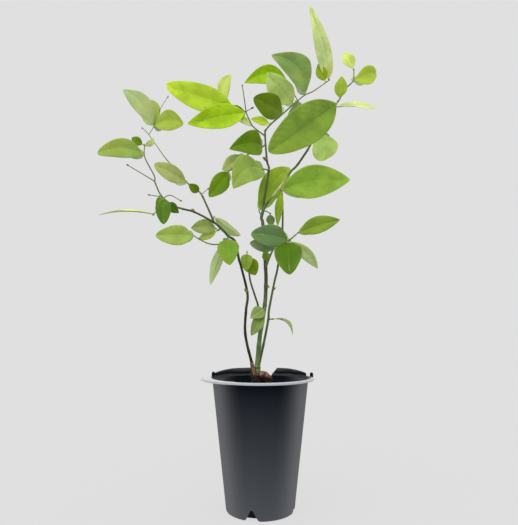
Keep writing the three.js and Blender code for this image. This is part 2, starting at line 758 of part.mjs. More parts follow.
function pottingMix() {
  // Fills the pot to some way below its rim, clear of its wall.
  const bottom = POT.floor + GAP;
  const footRadius = POT.footRadius - POT.wall - GAP;
  const neckRadius = POT.topRadius - POT.wall - GAP;
  const fill = (SOIL - POT.floor) / (UNDER_FLANGE - POT.floor);
  return turned([
    [0, bottom],
    [footRadius, bottom],
    [lerp(footRadius, neckRadius, fill), SOIL],
    [0, SOIL],
  ]);
}

// ---- The scene graph

const MATERIALS = {
  plastic: new THREE.MeshStandardMaterial({ color: 0x2b2d31, roughness: 0.42, metalness: 0 }),
  mix: new THREE.MeshStandardMaterial({ color: 0x2a2019, roughness: 1, metalness: 0 }),
  bark: new THREE.MeshStandardMaterial({ color: 0x5a4230, roughness: 0.85, metalness: 0 }),
  stem: new THREE.MeshStandardMaterial({ color: 0x4c5a2a, roughness: 0.7, metalness: 0 }),
  leaf: new THREE.MeshStandardMaterial({ color: 0x7da23a, roughness: 0.55, metalness: 0 }),
};

const bush = new THREE.Group();

function place(name, solid, material) {
  const mesh = new THREE.Mesh(toGeometry(solid), material);
  mesh.name = name;
  bush.add(mesh);
}

for (const [name, row] of Object.entries({ ...STUBS, ...LIMBS })) {
  addLimb(name, row);
  takeLimb(name, limbs[name].points, row.radius[0]);
}
place('pot', pot(), MATERIALS.plastic);
place('potting_mix', pottingMix(), MATERIALS.mix);
place('trunk', crown(), MATERIALS.bark);
for (const [name, row] of Object.entries(LIMBS)) {
  place(name, limbSolid(name, row), MATERIALS.stem);
}
const shoots = Object.entries(SHOOTS).map(([name, row], index) => planShoot(name, row, 101 + index));
shoots.forEach(addFarLeaves);
for (const shoot of shoots) {
  place(shoot.name, shootSolid(shoot), MATERIALS.leaf);
}

export default bush;
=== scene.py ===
"""A young highbush blueberry in a round black nursery pot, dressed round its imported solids.

The tables give the plant in millimetres, in the same front elevation as its solids. Blender gets metres.
Each shoot grows again from the same numbers by the same seeded rule, with finer leaves, veins and buds.
"""

import math

import bmesh
import bpy
import numpy as np
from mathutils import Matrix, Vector, noise


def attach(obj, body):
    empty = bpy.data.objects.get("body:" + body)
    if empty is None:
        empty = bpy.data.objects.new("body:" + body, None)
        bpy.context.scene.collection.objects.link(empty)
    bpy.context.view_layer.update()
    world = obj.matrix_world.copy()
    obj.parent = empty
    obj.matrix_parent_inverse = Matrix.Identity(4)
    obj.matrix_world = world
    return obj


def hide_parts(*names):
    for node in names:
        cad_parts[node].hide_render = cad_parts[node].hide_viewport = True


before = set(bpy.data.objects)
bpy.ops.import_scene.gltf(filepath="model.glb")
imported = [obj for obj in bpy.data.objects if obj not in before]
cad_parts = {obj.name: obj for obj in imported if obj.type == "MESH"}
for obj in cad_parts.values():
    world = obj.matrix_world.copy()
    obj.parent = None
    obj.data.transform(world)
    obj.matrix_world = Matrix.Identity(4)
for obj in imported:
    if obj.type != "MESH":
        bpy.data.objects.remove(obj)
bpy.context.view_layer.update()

MM = 0.001

# ---- The front elevation
# A point of the plant is (across, up, back). Across and up are its place in the front elevation, and back
# is how far it lies behind the pot's axis. The elevation is a perspective on a sheet at arm's length, seen
# by an eye in front of the plant that looks a little upwards.

EYE = np.array([-1.3, -510.0, 177.0])
EYE_TILT = math.radians(7.1)
SHEET_DISTANCE = 500.0
SHEET_EYE = (-2.0, 247.5)
SHEET_HEIGHT = 525.0


def sight_line(point):
    across, up = point[0] - SHEET_EYE[0], point[1] - SHEET_EYE[1]
    cos, sin = math.cos(EYE_TILT), math.sin(EYE_TILT)
    return np.array([across, SHEET_DISTANCE * cos - up * sin, SHEET_DISTANCE * sin + up * cos])


def at(point):
    line = sight_line(point)
    return EYE + line * (point[2] - EYE[1]) / line[1]


def real_scale(point):
    return (point[2] - EYE[1]) / sight_line(point)[1]


# ---- The limbs
# Each grows from a place on another one, counted in that one's points from 0 at its foot. The radius is
# given at the foot and at the tip. The tone is given at even steps from foot to tip: -1 is pale skin, 0 is
# young bark, 1 is old bark and 2 is the near black of painted shade. Knots are where the stem thickens at a
# joint.

STUBS = {
    "left_stub": dict(path=[(-6.5, 118, 1), (-7.4, 134, 0.5), (-9.4, 148, 0)], radius=(4, 1.7)),
    "middle_stub": dict(path=[(-4, 118, 1), (-4.3, 131, 0.5), (-4, 142, 0.5)], radius=(4.6, 2.5)),
    "right_stub": dict(path=[(-2, 118, 4), (-2.6, 132, 4.8), (-2.2, 144, 5.4)], radius=(3.2, 1.5)),
    "root_knob": dict(
        path=[(-5, 120, 0), (-1.5, 131.5, -3), (3, 134, -5), (7, 129, -6), (8, 117, -6)],
        radius=(6, 3.8),
    ),
}

LIMBS = {
    "left_stem": dict(
        start=("left_stub", 2),
        path=[
            (-14, 166, -4), (-16, 181, -6), (-14.9, 200.5, -8),
            (-13.5, 216, -8), (-19.2, 240.8, -12), (-21.8, 249.5, -14),
        ],
        radius=(1.4, 1.2),
        tone=(1.1, 0.95, 0.85),
        knots=[0.6, 1.7, 2.8, 4.1, 5.1],
    ),
    "left_bough": dict(
        start=("left_stem", 6),
        path=[
            (-26, 268.4, -16), (-33, 274, -21), (-38.1, 280, -24),
            (-46.9, 287.4, -28), (-65.8, 297.6, -38), (-78, 301, -44),
        ],
        radius=(1.3, 0.95),
        tone=(0.72, 0.62),
        knots=[1, 2, 3.3, 4.1, 5.1],
    ),
    "left_upper_bough": dict(
        start=("left_bough", 4),
        path=[(-51.7, 298.8, -26), (-58.3, 313.4, -18)],
        radius=(1, 0.85),
        tone=(0.62, 0.7),
        knots=[1.1, 1.9],
    ),
    "middle_stem": dict(
        start=("middle_stub", 2),
        path=[(-1.5, 170.3, 1), (-0.7, 177.6, 2), (3.9, 206, 4), (5, 230, 7), (4.5, 244, 9)],
        radius=(2.4, 1.8),
        tone=(0.05, 0.15, 0.35, 0.62, 0.7),
        knots=[0.7, 2.25, 2.95, 3.7, 4.85],
    ),
    "middle_stem_upper": dict(
        start=("middle_stem", 5),
        path=[(1.9, 285.3, 14), (0.4, 292, 15), (2.5, 301, 17)],
        radius=(1.8, 1.6),
        tone=(0.62, 0.66),
        knots=[0.5, 1, 2.4],
    ),
    "upper_bough": dict(
        start=("middle_stem_upper", 3),
        path=[(3, 310, 22), (7.8, 339.2, 31), (6, 349, 34), (4.4, 368, 38), (4, 379, 40)],
        radius=(1.5, 1),
        tone=(0.6, 0.6),
        knots=[1, 2, 3, 3.85, 4.5],
    ),
    "right_bough": dict(
        start=("middle_stem_upper", 2.6),
        path=[(5.6, 306, 13), (19, 323, 7), (29.5, 338, 0), (36, 344.6, -4), (46.3, 359.5, -14)],
        radius=(1.35, 1.1),
        tone=(0.5, 0.4, -0.6, -1, -0.4, 0.45, 0.55, 0.5),
        knots=[1, 2, 3, 4.1],
    ),
    "side_stem": dict(
        start=("middle_stem", 2.25),
        path=[(-3, 204.3, -2), (-5.3, 212, -4), (-10.4, 228, -12), (-12, 238, -16)],
        radius=(1.05, 0.85),
        tone=(0.7, 0.55),
        knots=[1, 2.3, 3.2],
    ),
    "right_stem": dict(
        start=("right_stub", 2),
        path=[
            (3.5, 170.3, 7), (7.3, 190.6, 11), (8.1, 200.5, 13),
            (13.4, 228, 19), (16.9, 243.7, 21), (21.5, 280, 25),
        ],
        radius=(1.3, 1.05),
        tone=(0.35, 0.5, 0.6),
        knots=[0.8, 2, 3.75, 5, 5.6],
    ),
    "right_stem_upper": dict(
        start=("right_stem", 6),
        path=[(21.8, 298, 26), (21.2, 316, 27)],
        radius=(1.05, 0.85),
        tone=(0.55, 0.4),
        knots=[0.6, 1.5],
    ),
}

# ---- The shoots


def leaf(place, tip, width, look, **more):
    """A leaf at a place on the stem or on the twig that it names, reaching its tip.

    Width is read on the elevation. Roll turns the blade about its length, away from facing the front.
    Sweep bends it to the right of the way it grows. A blunt leaf has a round tip. Where widest is low the
    leaf is broad near its base.
    """
    return dict(at=place, tip=tip, width=width, look=look, **more)


SHOOTS = {
    "foliage_top": dict(
        start=("upper_bough", 5),
        stem=[
            (10, 386, 43), (20.7, 395.2, 50), (34.5, 407.5, 56),
            (44, 415, 60), (52.6, 419, 62), (67.8, 429.6, 68),
        ],
        radius=(1, 0.6),
        twigs=dict(riser=(3.2, [(31, 420, 58), (27, 428, 56)])),
        leaves=[
            leaf(4, (10.7, 455, 30), 28, "blue", roll=8, sweep=0.21, blunt=0.3),
            leaf(2.8, (6.5, 437, 20), 27, "mist", roll=-8, blunt=0.5),
            leaf(2.1, (-7, 412, 15), 26, "olive", roll=12, blunt=0.85),
            leaf(2, (-16.6, 427, 46), 20, "vivid", on="riser", sweep=0.17),
            leaf(0.95, (-10, 391.5, 30), 9.5, "young", roll=25),
            leaf(6, (48, 506.5, 40), 16, "pale", sweep=0.03, widest=0.62),
            leaf(5.8, (57, 446, 60), 12, "amber"),
            leaf(3.2, (36, 372, 100), 18, "mid", roll=170),
        ],
    ),
    "foliage_top_right": dict(
        start=("right_bough", 5),
        stem=[(59, 382, -23), (77.2, 408.7, -32), (83.7, 420.5, -35), (92, 429, -38), (92.8, 439.5, -38)],
        radius=(1.05, 0.6),
        leaves=[
            leaf(1.95, (8, 358, -52), 41, "mid", blunt=0.9, widest=1),
            leaf(1.75, (115.7, 400.7, -45), 16, "pale", roll=-70, sweep=0.03),
            leaf(2.1, (80.7, 434, -50), 13.5, "bright", roll=10),
            leaf(4, (116, 437, -30), 19, "bright", roll=10, sweep=-0.06, blunt=1),
            leaf(5, (83, 457.3, -35), 13, "lemon", roll=15),
            leaf(0.85, (62.5, 349, 5), 28, "light", roll=-10, sweep=-0.08, blunt=0.2),
        ],
    ),
    "foliage_bright": dict(
        start=("upper_bough", 4.5),
        stem=[(-7.3, 382.8, 30), (-11, 389, 27), (-14.7, 397.5, 22), (-16.5, 409.7, 17), (-18.6, 423.8, 12)],
        radius=(0.85, 0.5),
        twigs=dict(upward=(3, [(-26, 402, 14), (-36, 406, 8)])),
        leaves=[
            leaf(3, (-72.7, 386.7, -10), 27, "vivid", roll=8),
            leaf(1.1, (-95, 425, 0), 27, "young", on="upward", roll=-8, blunt=0.9),
            leaf(2, (-30, 436, 14), 13, "straw", on="upward", roll=10, sweep=-0.15),
            leaf(3, (-34, 400, 34), 12, "olive"),
            leaf(1, (-27, 394, 40), 9, "pale", roll=30),
        ],
    ),
    "foliage_upper_left": dict(
        start=("upper_bough", 3.85),
        stem=[(-3, 360, 32), (-15.6, 353.9, 22), (-32.1, 338.7, 10)],
        radius=(0.85, 0.6),
        leaves=[
            leaf(0.4, (-31.5, 361, 8), 28, "dark", roll=6, sweep=0.09, widest=0.68),
            leaf(2, (-39, 340, 20), 16, "dusty", roll=14),
            leaf(3, (-52, 313, -8), 19, "dark", roll=-10, blunt=0.3),
        ],
    ),
    "foliage_middle_left": dict(
        start=("upper_bough", 2),
        stem=[(5, 340.5, 27), (2, 341, 23)],
        radius=(0.85, 0.7),
        leaves=[leaf(1.6, (-28, 321.5, 0), 31, "field", roll=8, sweep=0.19, blunt=0.3, widest=0.74)],
    ),
    "foliage_right": dict(
        start=("right_stem_upper", 2),
        stem=[(20, 320, 28), (18.5, 324, 29)],
        radius=(0.8, 0.7),
        leaves=[
            leaf(1, (89, 330, 5), 35, "grass", roll=4, sweep=-0.06),
            leaf(0.7, (16.5, 284.5, 18), 9, "amber", roll=10),
        ],
    ),
    "foliage_fork": dict(
        start=("middle_stem_upper", 2.4),
        stem=[(-0.5, 296, 23), (-2, 299, 31)],
        radius=(0.85, 0.7),
        twigs=dict(low=(1, [(4, 299, 28), (8.5, 297, 29)])),
        leaves=[
            leaf(2, (29.5, 343, 64), 24, "amber", sweep=-0.06),
            leaf(2, (10.5, 283.5, 26), 9, "moss", on="low"),
        ],
    ),
    "foliage_centre": dict(
        start=("middle_stem", 4.85),
        stem=[(7.5, 250, 3), (14, 263, -4), (25, 267.5, -12), (31, 272, -16), (36.7, 277, -20)],
        radius=(1.15, 0.7),
        leaves=[
            leaf(3.5, (-9.5, 276, -30), 23.5, "teal", sweep=0.04, blunt=0.9),
            leaf(2.3, (-11, 267, -20), 16, "slate", roll=-10, blunt=0.8),
            leaf(3.2, (28.5, 236, -50), 31, "deep", blunt=1),
            leaf(3.4, (56.5, 241, -10), 13, "silver", roll=20, sweep=-0.1),
            leaf(5, (79, 290.3, -35), 18, "mid", sweep=-0.04),
            leaf(0.7, (4, 260, 0), 9, "mid"),
        ],
    ),
    "foliage_centre_left": dict(
        start=("side_stem", 4),
        stem=[(-14, 248, -18), (-14, 257, -20)],
        radius=(0.85, 0.7),
        leaves=[
            leaf(2, (-15, 238.5, -32), 13, "mid", blunt=0.5),
            leaf(1.6, (-5.5, 235, -22), 16, "olive", blunt=0.6),
        ],
    ),
    "foliage_left_hang": dict(
        start=("left_bough", 1.9),
        stem=[
            (-36.5, 267.5, -27), (-44.6, 265.5, -30), (-52.7, 266.5, -36),
            (-61, 270.4, -42), (-67, 274.2, -46),
        ],
        radius=(0.8, 0.55),
        leaves=[
            leaf(0.35, (-31, 245, -50), 24, "leafy", blunt=0.6),
            leaf(0.8, (-51, 225, -15), 12, "pale", roll=158),
            leaf(5, (-105.5, 274.5, -70), 22, "fresh", roll=6, blunt=0.8),
        ],
    ),
    "foliage_left_low": dict(
        start=("left_bough", 3.3),
        stem=[(-43, 279.5, -20), (-44.6, 281, -18)],
        radius=(0.8, 0.7),
        leaves=[
            leaf(0.8, (-70, 282, -21), 16, "sage", roll=6, sweep=0.08),
            leaf(1, (-63, 270.5, -22), 9, "fresh"),
        ],
    ),
    "foliage_left_back": dict(
        start=("left_bough", 4.1),
        stem=[(-47.5, 291.5, -20), (-47, 293, -16)],
        radius=(0.8, 0.7),
        leaves=[leaf(2, (-20.5, 274.5, 6), 13, "dusty", roll=150, blunt=0.7)],
    ),
    "foliage_left_outer": dict(
        start=("left_bough", 6),
        stem=[
            (-86.6, 304, -48), (-98.8, 313, -54), (-105.9, 327.5, -57),
            (-106.7, 334.2, -58), (-116, 352.2, -60), (-116.5, 364, -58),
        ],
        radius=(0.9, 0.5),
        twigs=dict(
            inward=(1.9, [(-90.8, 314.8, -48), (-80.9, 309.6, -44)]),
            lower=(2, [(-111, 315, -58)]),
            hanging=(1.9, [(-102, 303, -46), (-107, 296, -42)]),
            outward=(3.1, [(-111, 331.5, -60), (-132.7, 344.5, -66)]),
        ),
        leaves=[
            leaf(5.2, (-163.5, 357, -80), 21, "fresh", roll=8, sweep=0.11, blunt=1),
            leaf(6, (-129.5, 372.5, -60), 9, "olive"),
            leaf(5.9, (-107, 372, -64), 8, "pale", roll=30),
            leaf(1.9, (-97.5, 286, -68), 16.5, "deep", blunt=0.9),
            leaf(2.1, (-105, 303.5, -62), 6, "olive"),
            leaf(1.6, (-82, 297, -54), 11, "deep", roll=10),
            leaf(2, (-163.5, 294.5, -30), 10, "pale", on="hanging", roll=85, sweep=-0.02),
        ],
    ),
    "foliage_left_upper": dict(
        start=("left_upper_bough", 2),
        stem=[
            (-62, 318.4, -15), (-73.5, 327, -6), (-83.3, 338.6, 1),
            (-95.6, 352, 12), (-112.3, 375.4, 22), (-118.4, 381.5, 26),
        ],
        radius=(0.85, 0.4),
        twigs=dict(
            inward=(0.5, [(-53.3, 320.8, -22)]),
            upward=(5, [(-107.7, 383, 24), (-101, 400.4, 28), (-93.4, 412.6, 30)]),
        ),
        leaves=[
            leaf(0.8, (-72.5, 326, -28), 9.5, "olive"),
            leaf(2, (-106.5, 346, -20), 17.5, "dusty", roll=8, blunt=1),
            leaf(1.1, (-138, 420.5, 10), 19.5, "silver", on="upward", roll=12, sweep=0.09),
            leaf(1, (-77.5, 386.5, 36), 21, "soft", on="upward", roll=6, sweep=-0.17, blunt=0.4),
            leaf(1.2, (-109, 411, 36), 14, "field", on="upward", roll=10),
        ],
    ),
    "foliage_low": dict(
        start=("middle_stem", 2.95),
        stem=[(3.6, 201, -1), (2.6, 197, -3)],
        radius=(0.8, 0.7),
        leaves=[
            leaf(0.9, (-10.5, 191.5, -13), 15, "sage", roll=8),
            leaf(2, (-9.9, 174.5, -14), 13, "moss"),
        ],
    ),
    "foliage_low_right": dict(
        start=("right_stem", 2),
        stem=[(11.1, 191, 8)],
        radius=(0.75, 0.65),
        leaves=[leaf(1, (31.6, 174.7, 0), 10, "sage", roll=-74, sweep=-0.16)],
    ),
}

FIRST_SEED = 101

# Behind each broad leaf the shoot bears a second one, on its far side.
FAR_LEAF = dict(wider_than=16, along=0.62, behind=(46, 64), roll=(150, 210), width=0.66, clearance=1.5)
FAR_LOOKS = ("mid", "fresh", "grass", "dark")

# Buds on the stems, as (limb, place, point that the bud reaches).
STEM_BUDS = [
    ("middle_stem", 3.75, (8.6, 222.5, 4)),
    ("right_stem", 3.72, (14.6, 222.5, 14)),
    ("left_stem", 4.1, (-16.6, 221.5, -12)),
    ("upper_bough", 3.05, (1.6, 353, 30)),
    ("right_bough", 1.4, (13.6, 316.5, 14)),
    ("left_bough", 5.1, (-69.5, 301.5, -36)),
]
SPUR = ("foliage_bright", 3.1, (-9.7, 401.5, 20))  # a short dry twig: shoot, place and tip
SPUR_RADIUS = (0.45, 0.4)
TWIG_TAPER = 0.8
TONES = dict(stem=(0.55, 0.2), twig=(0.4, 0.3), spur=(0.6, 0.7))  # from foot to tip
FLARE = dict(limb=0.1, twig=0.4)  # how much wider the foot is, part of the radius
BUDS = dict(end=(2.6, 0.6), side=(2.0, 0.3), spur=(3.4, 1.0))  # length and tone, by where they sit
LIMB_BUD_TONE = 0.35
BLADE_SEED = 9000  # for what differs from blade to blade beyond the listed numbers

# ---- Colours, as they look in soft daylight


def srgb(*levels):
    """A colour given from 0 to 255, as Blender's shaders take it."""
    parts = [level / 255 for level in levels]
    return tuple(p / 12.92 if p <= 0.04045 else ((p + 0.055) / 1.055) ** 2.4 for p in parts) + (1.0,)


# Each look was set from how light its leaves stand, so the looks also carry painted light and shade: leaves
# that lie in the plant's own shade, such as those of mist and light, have a lighter green to make up for it.
LEAF_LOOKS = {
    "lemon": srgb(201, 219, 112),
    "straw": srgb(190, 207, 101),
    "young": srgb(194, 227, 62),
    "vivid": srgb(174, 212, 30),
    "light": srgb(208, 240, 130),
    "bright": srgb(182, 207, 72),
    "soft": srgb(177, 206, 94),
    "fresh": srgb(151, 179, 86),
    "mist": srgb(196, 220, 128),
    "pale": srgb(204, 220, 146),
    "silver": srgb(164, 189, 134),
    "dusty": srgb(168, 180, 106),
    "sage": srgb(140, 164, 96),
    "field": srgb(142, 170, 78),
    "moss": srgb(118, 143, 74),
    "slate": srgb(116, 145, 98),
    "grass": srgb(156, 194, 68),
    "leafy": srgb(106, 146, 44),
    "mid": srgb(120, 153, 52),
    "blue": srgb(143, 174, 97),
    "teal": srgb(102, 136, 84),
    "amber": srgb(140, 168, 38),
    "olive": srgb(100, 130, 12),
    "dark": srgb(102, 140, 14),
    "deep": srgb(76, 114, 16),
}

PALE_RIB = 1.35  # times the blade's colour
RIB_SHADES = {"mid": 0.6}  # the looks whose rib is another shade

# ---- Random numbers, vectors and curves


def seeded(seed):
    """The same row of numbers between 0 and 1 for the same seed."""
    mask = 0xFFFFFFFF
    state = seed & mask

    def draw():
        nonlocal state
        state = (state + 0x6D2B79F5) & mask
        mixed = ((state ^ (state >> 15)) * (state | 1)) & mask
        mixed ^= (mixed + ((mixed ^ (mixed >> 7)) * (mixed | 61) & mask)) & mask
        return (mixed ^ (mixed >> 14)) / 2**32

    return draw


def mix(low, high, part):
    return low + (high - low) * part


def clamp(value, low, high):
    return min(high, max(low, value))


def unit(vector):
    return vector / np.linalg.norm(vector)


def turned(vector, axis, angle):
    """The vector turned about a unit axis."""
    cos, sin = math.cos(angle), math.sin(angle)
    return vector * cos + np.cross(axis, vector) * sin + axis * np.dot(axis, vector) * (1 - cos)


def on_curve(points, place):
    """A point of the smooth curve through the points, and the curve's direction there."""
    last = len(points) - 1
    span = min(int(place), last - 1)
    part = place - span
    before = points[span - 1] if span > 0 else 2 * points[0] - points[1]
    start, end = points[span], points[span + 1]
    after = points[span + 2] if span + 2 <= last else 2 * points[last] - points[last - 1]
    leave, arrive = (end - before) / 2, (after - start) / 2
    second = 3 * (end - start) - 2 * leave - arrive
    third = 2 * (start - end) + leave + arrive
    point = start + part * (leave + part * (second + part * third))
    direction = leave + part * (2 * second + part * 3 * third)
    return point, unit(direction)


def point_on(points, place):
    return on_curve(points, place)[0]


MEASURED = 24  # times between two points of a curve, to find its length


def evenly(points, spacing):
    """Places on the curve at about even spacing, with the length up to each."""
    fine = np.linspace(0, len(points) - 1, MEASURED * (len(points) - 1) + 1)
    spots = np.array([point_on(points, place) for place in fine])
    lengths = np.concatenate([[0], np.cumsum(np.linalg.norm(np.diff(spots, axis=0), axis=1))])
    count = max(4, math.ceil(lengths[-1] / spacing))
    wanted = np.linspace(0, lengths[-1], count + 1)
    return np.interp(wanted, lengths, fine), wanted


# ---- Growing the plant



def grown(points, place, path):
    """A path that starts from a place on another row of points."""
    return [point_on(points, place)] + [at(p) for p in path]


limbs = {name: [at(p) for p in row["path"]] for name, row in STUBS.items()}
for name, row in LIMBS.items():
    bearer, place = row["start"]
    limbs[name] = grown(limbs[bearer], place, row["path"])

LEAF = dict(
    petiole=2.4,  # bare stalk between the twig and the blade
    longest_petiole=0.3,  # part of the leaf's length
    bow=(0.03, 0.08),
    fold=(8, 24),
    twist=(-9, 9),
    widest=(0.82, 0.96),
    fullness=(0.8, 0.5),  # lower is rounder: at the base, and at a blunt tip
)


def leaf_shape(row, base, tip, width, draw):
    """The blade's axes, arch and fold. What varies by itself is drawn from the shoot's numbers."""
    along = tip - base
    length = np.linalg.norm(along)
    along = along / length
    face = EYE - base
    face = unit(face - along * np.dot(face, along))
    sideways = np.cross(along, face)
    face = turned(face, along, math.radians(row.get("roll", 0)))
    shape = dict(
        base=base,
        length=length,
        along=along,
        face=face,
        sideways=sideways,
        side=np.cross(along, face),
        half=width / 2,
        sweep=row.get("sweep", 0),
        blunt=row.get("blunt", 0),
        bow=mix(*LEAF["bow"], draw()),
        fold=math.radians(mix(*LEAF["fold"], draw())),
        twist=math.radians(mix(*LEAF["twist"], draw())),
        widest=mix(*LEAF["widest"], draw()),
        look=row["look"],
    )
    return {**shape, "widest": row.get("widest", shape["widest"])}


def midrib(shape, s):
    """The point of the blade's middle line at part s of its length."""
    arch = 4 * s * (1 - s) * shape["length"]
    along = shape["along"] * s * shape["length"]
    rise = shape["face"] * arch * shape["bow"]
    bend = shape["sideways"] * arch * shape["sweep"]
    return shape["base"] + along + rise + bend


def bare_part(shape):
    return min(LEAF["longest_petiole"], LEAF["petiole"] / shape["length"])


def half_width(shape, s):
    bare = bare_part(shape)
    u = max(0, (s - bare) / (1 - bare))
    fullness = mix(*LEAF["fullness"], shape["blunt"] * u)
    return shape["half"] * max(0, math.sin(math.pi * min(1, u ** shape["widest"]))) ** fullness


ON_LEAF = (0.3, 0.45, 0.6, 0.75, 0.9, 1)  # spheres along a leaf
PART_OF_WIDTH = 0.7  # of the blade that a sphere fills
PER_SPAN = 6  # spheres between two points of a limb
PETIOLE_HALF = 0.6

taken = []  # owner and sphere (x, y, z, radius) along all that is placed


def take_limb(owner, points, radius):
    for step in range((len(points) - 1) * PER_SPAN + 1):
        taken.append((owner, (*point_on(points, step / PER_SPAN), radius)))


def leaf_spheres(shape):
    spheres = []
    for s in ON_LEAF:
        half = max(PETIOLE_HALF * (1 - 0.5 * s), half_width(shape, s))
        spheres.append((*midrib(shape, s), half * PART_OF_WIDTH))
    return spheres


def is_free(owner, shape):
    others = np.array([sphere for name, sphere in taken if name != owner])
    for sphere in leaf_spheres(shape):
        away = np.linalg.norm(others[:, :3] - np.array(sphere[:3]), axis=1)
        if (away <= sphere[3] + others[:, 3] + FAR_LEAF["clearance"]).any():
            return False
    return True


def plan_shoot(name, row, seed):
    """Where the shoot's stem, twigs and listed leaves lie."""
    draw = seeded(seed)
    bearer, place = row["start"]
    stem = grown(limbs[bearer], place, row["stem"])
    twigs = {twig: grown(stem, *rest) for twig, rest in row.get("twigs", {}).items()}
    leaves = []
    for leaf_row in row["leaves"]:
        points = twigs[leaf_row["on"]] if "on" in leaf_row else stem
        base, direction = on_curve(points, leaf_row["at"])
        width = leaf_row["width"] * real_scale(leaf_row["tip"])
        shape = leaf_shape(leaf_row, base, at(leaf_row["tip"]), width, draw)
        shape["stem_direction"] = direction
        leaves.append(shape)
    for points in (stem, *twigs.values()):
        take_limb(name, points, row["radius"][0])
    for shape in leaves:
        taken.extend((name, sphere) for sphere in leaf_spheres(shape))
    return dict(name=name, row=row, stem=stem, twigs=twigs, leaves=leaves, draw=draw)


def add_far_leaves(plan):
    """The leaves on the far side, each hidden from the front. One that would touch another is skipped."""
    draw = plan["draw"]
    for front in [shape for shape in plan["leaves"] if shape["half"] * 2 > FAR_LEAF["wider_than"]]:
        behind = mix(*FAR_LEAF["behind"], draw())
        tip = midrib(front, FAR_LEAF["along"])
        tip = tip + (EYE - tip) * -behind / (tip[1] - EYE[1])
        look = FAR_LOOKS[len(plan["leaves"]) % len(FAR_LOOKS)]
        row = dict(roll=mix(*FAR_LEAF["roll"], draw()), look=look)
        shape = leaf_shape(row, front["base"], tip, 2 * front["half"] * FAR_LEAF["width"], draw)
        shape["stem_direction"] = front["stem_direction"]
        if is_free(plan["name"], shape):
            taken.extend((plan["name"], sphere) for sphere in leaf_spheres(shape))
            plan["leaves"].append(shape)


for limb_name, row in {**STUBS, **LIMBS}.items():
    take_limb(limb_name, limbs[limb_name], row["radius"][0])
plans = [plan_shoot(name, row, FIRST_SEED + k) for k, (name, row) in enumerate(SHOOTS.items())]
for plan in plans:
    add_far_leaves(plan)

# ---- Meshes
# A mesh part is its points in millimetres, its faces, its material and its named numbers per point.


def mesh_part(points, faces, material, **numbers):
    return dict(points=np.asarray(points, float), faces=faces, material=material, numbers=numbers)


def placed(name, data):
    """An object of the scene, made of a mesh, a lamp or a camera."""
    made = bpy.data.objects.new(name, data)
    bpy.context.scene.collection.objects.link(made)
    return made


def new_object(name, points, faces, materials=(), slots=(), numbers=None):
    """An object of points in millimetres, with its faces turned outward."""
    mesh = bpy.data.meshes.new(name)
    mesh.from_pydata((np.asarray(points, float) * MM).tolist(), [], faces)
    for material in materials:
        mesh.materials.append(material)
    if slots:
        mesh.polygons.foreach_set("material_index", slots)
    for key, values in (numbers or {}).items():
        attribute = mesh.attributes.new(key, "FLOAT", "POINT")
        attribute.data.foreach_set("value", values.astype(np.float32))
    tidy = bmesh.new()
    tidy.from_mesh(mesh)
    bmesh.ops.recalc_face_normals(tidy, faces=tidy.faces)
    tidy.to_mesh(mesh)
    tidy.free()
    return placed(name, mesh)


def reshape(piece, kind, **settings):
    """Puts a modifier on the piece and applies it."""
    modifier = piece.modifiers.new(kind.lower(), kind)
    for key, value in settings.items():
        setattr(modifier, key, value)
    graph = bpy.context.evaluated_depsgraph_get()
    mesh = bpy.data.meshes.new_from_object(piece.evaluated_get(graph))
    piece.modifiers.clear()
    piece.data = mesh


def seat(piece, node=None):
    """The piece rides on the plant's body and stands for its CAD node, if it has one."""
    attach(piece, "root")
    if node:
        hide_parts(node)


def make_piece(name, parts, materials, node=None):
    """Joins parts into one smooth object and seats it."""
    faces = []
    looks = []
    shift = 0
    for part in parts:
        faces.extend(tuple(k + shift for k in face) for face in part["faces"])
        looks.extend([part["material"]] * len(part["faces"]))
        shift += len(part["points"])
    seen = set(looks)
    used = [look for look in materials if look in seen]
    order = {look: k for k, look in enumerate(used)}
    numbers = {}
    for key in sorted({key for part in parts for key in part["numbers"]}):
        values = [part["numbers"].get(key, np.zeros(len(part["points"]))) for part in parts]
        numbers[key] = np.concatenate(values)
    points = np.concatenate([part["points"] for part in parts])
    slots = [order[look] for look in looks]
    piece = new_object(name, points, faces, [materials[look] for look in used], slots, numbers)
    piece.data.shade_smooth()
    seat(piece, node)
    return piece


def circle(radius, height, sides):
    """Points all round the pot's axis."""
    turns = np.arange(sides) * 2 * math.pi / sides
    return [(radius * math.cos(turn), radius * math.sin(turn), height) for turn in turns]


def around(across, other, sides):
    """Directions all round, from across towards other."""
    turns = [2 * math.pi * k / sides for k in range(sides)]
    return [across * math.cos(turn) + other * math.sin(turn) for turn in turns]


def ring_quads(rings, sides, start=0):
    """The faces between a row of rings, the first of which has its points from start on."""
    faces = []
    for first in range(start, start + (rings - 1) * sides, sides):
        for k in range(sides):
            nearer, further = first + k, first + (k + 1) % sides
            faces.append((nearer, further, further + sides, nearer + sides))
    return faces


def ring_faces(rings, sides):
    """The same with a face over each end."""
    last = (rings - 1) * sides
    return [*ring_quads(rings, sides), tuple(reversed(range(sides))), tuple(range(last, last + sides))]


# Of a stem: how much it thickens at a knot, how far a knot and a flared foot reach along it, and the relief
# of its bark. Each is a part of its radius.
STEM = dict(knot=0.12, knot_reach=1.1, foot_reach=1.6, ridges=0.03)


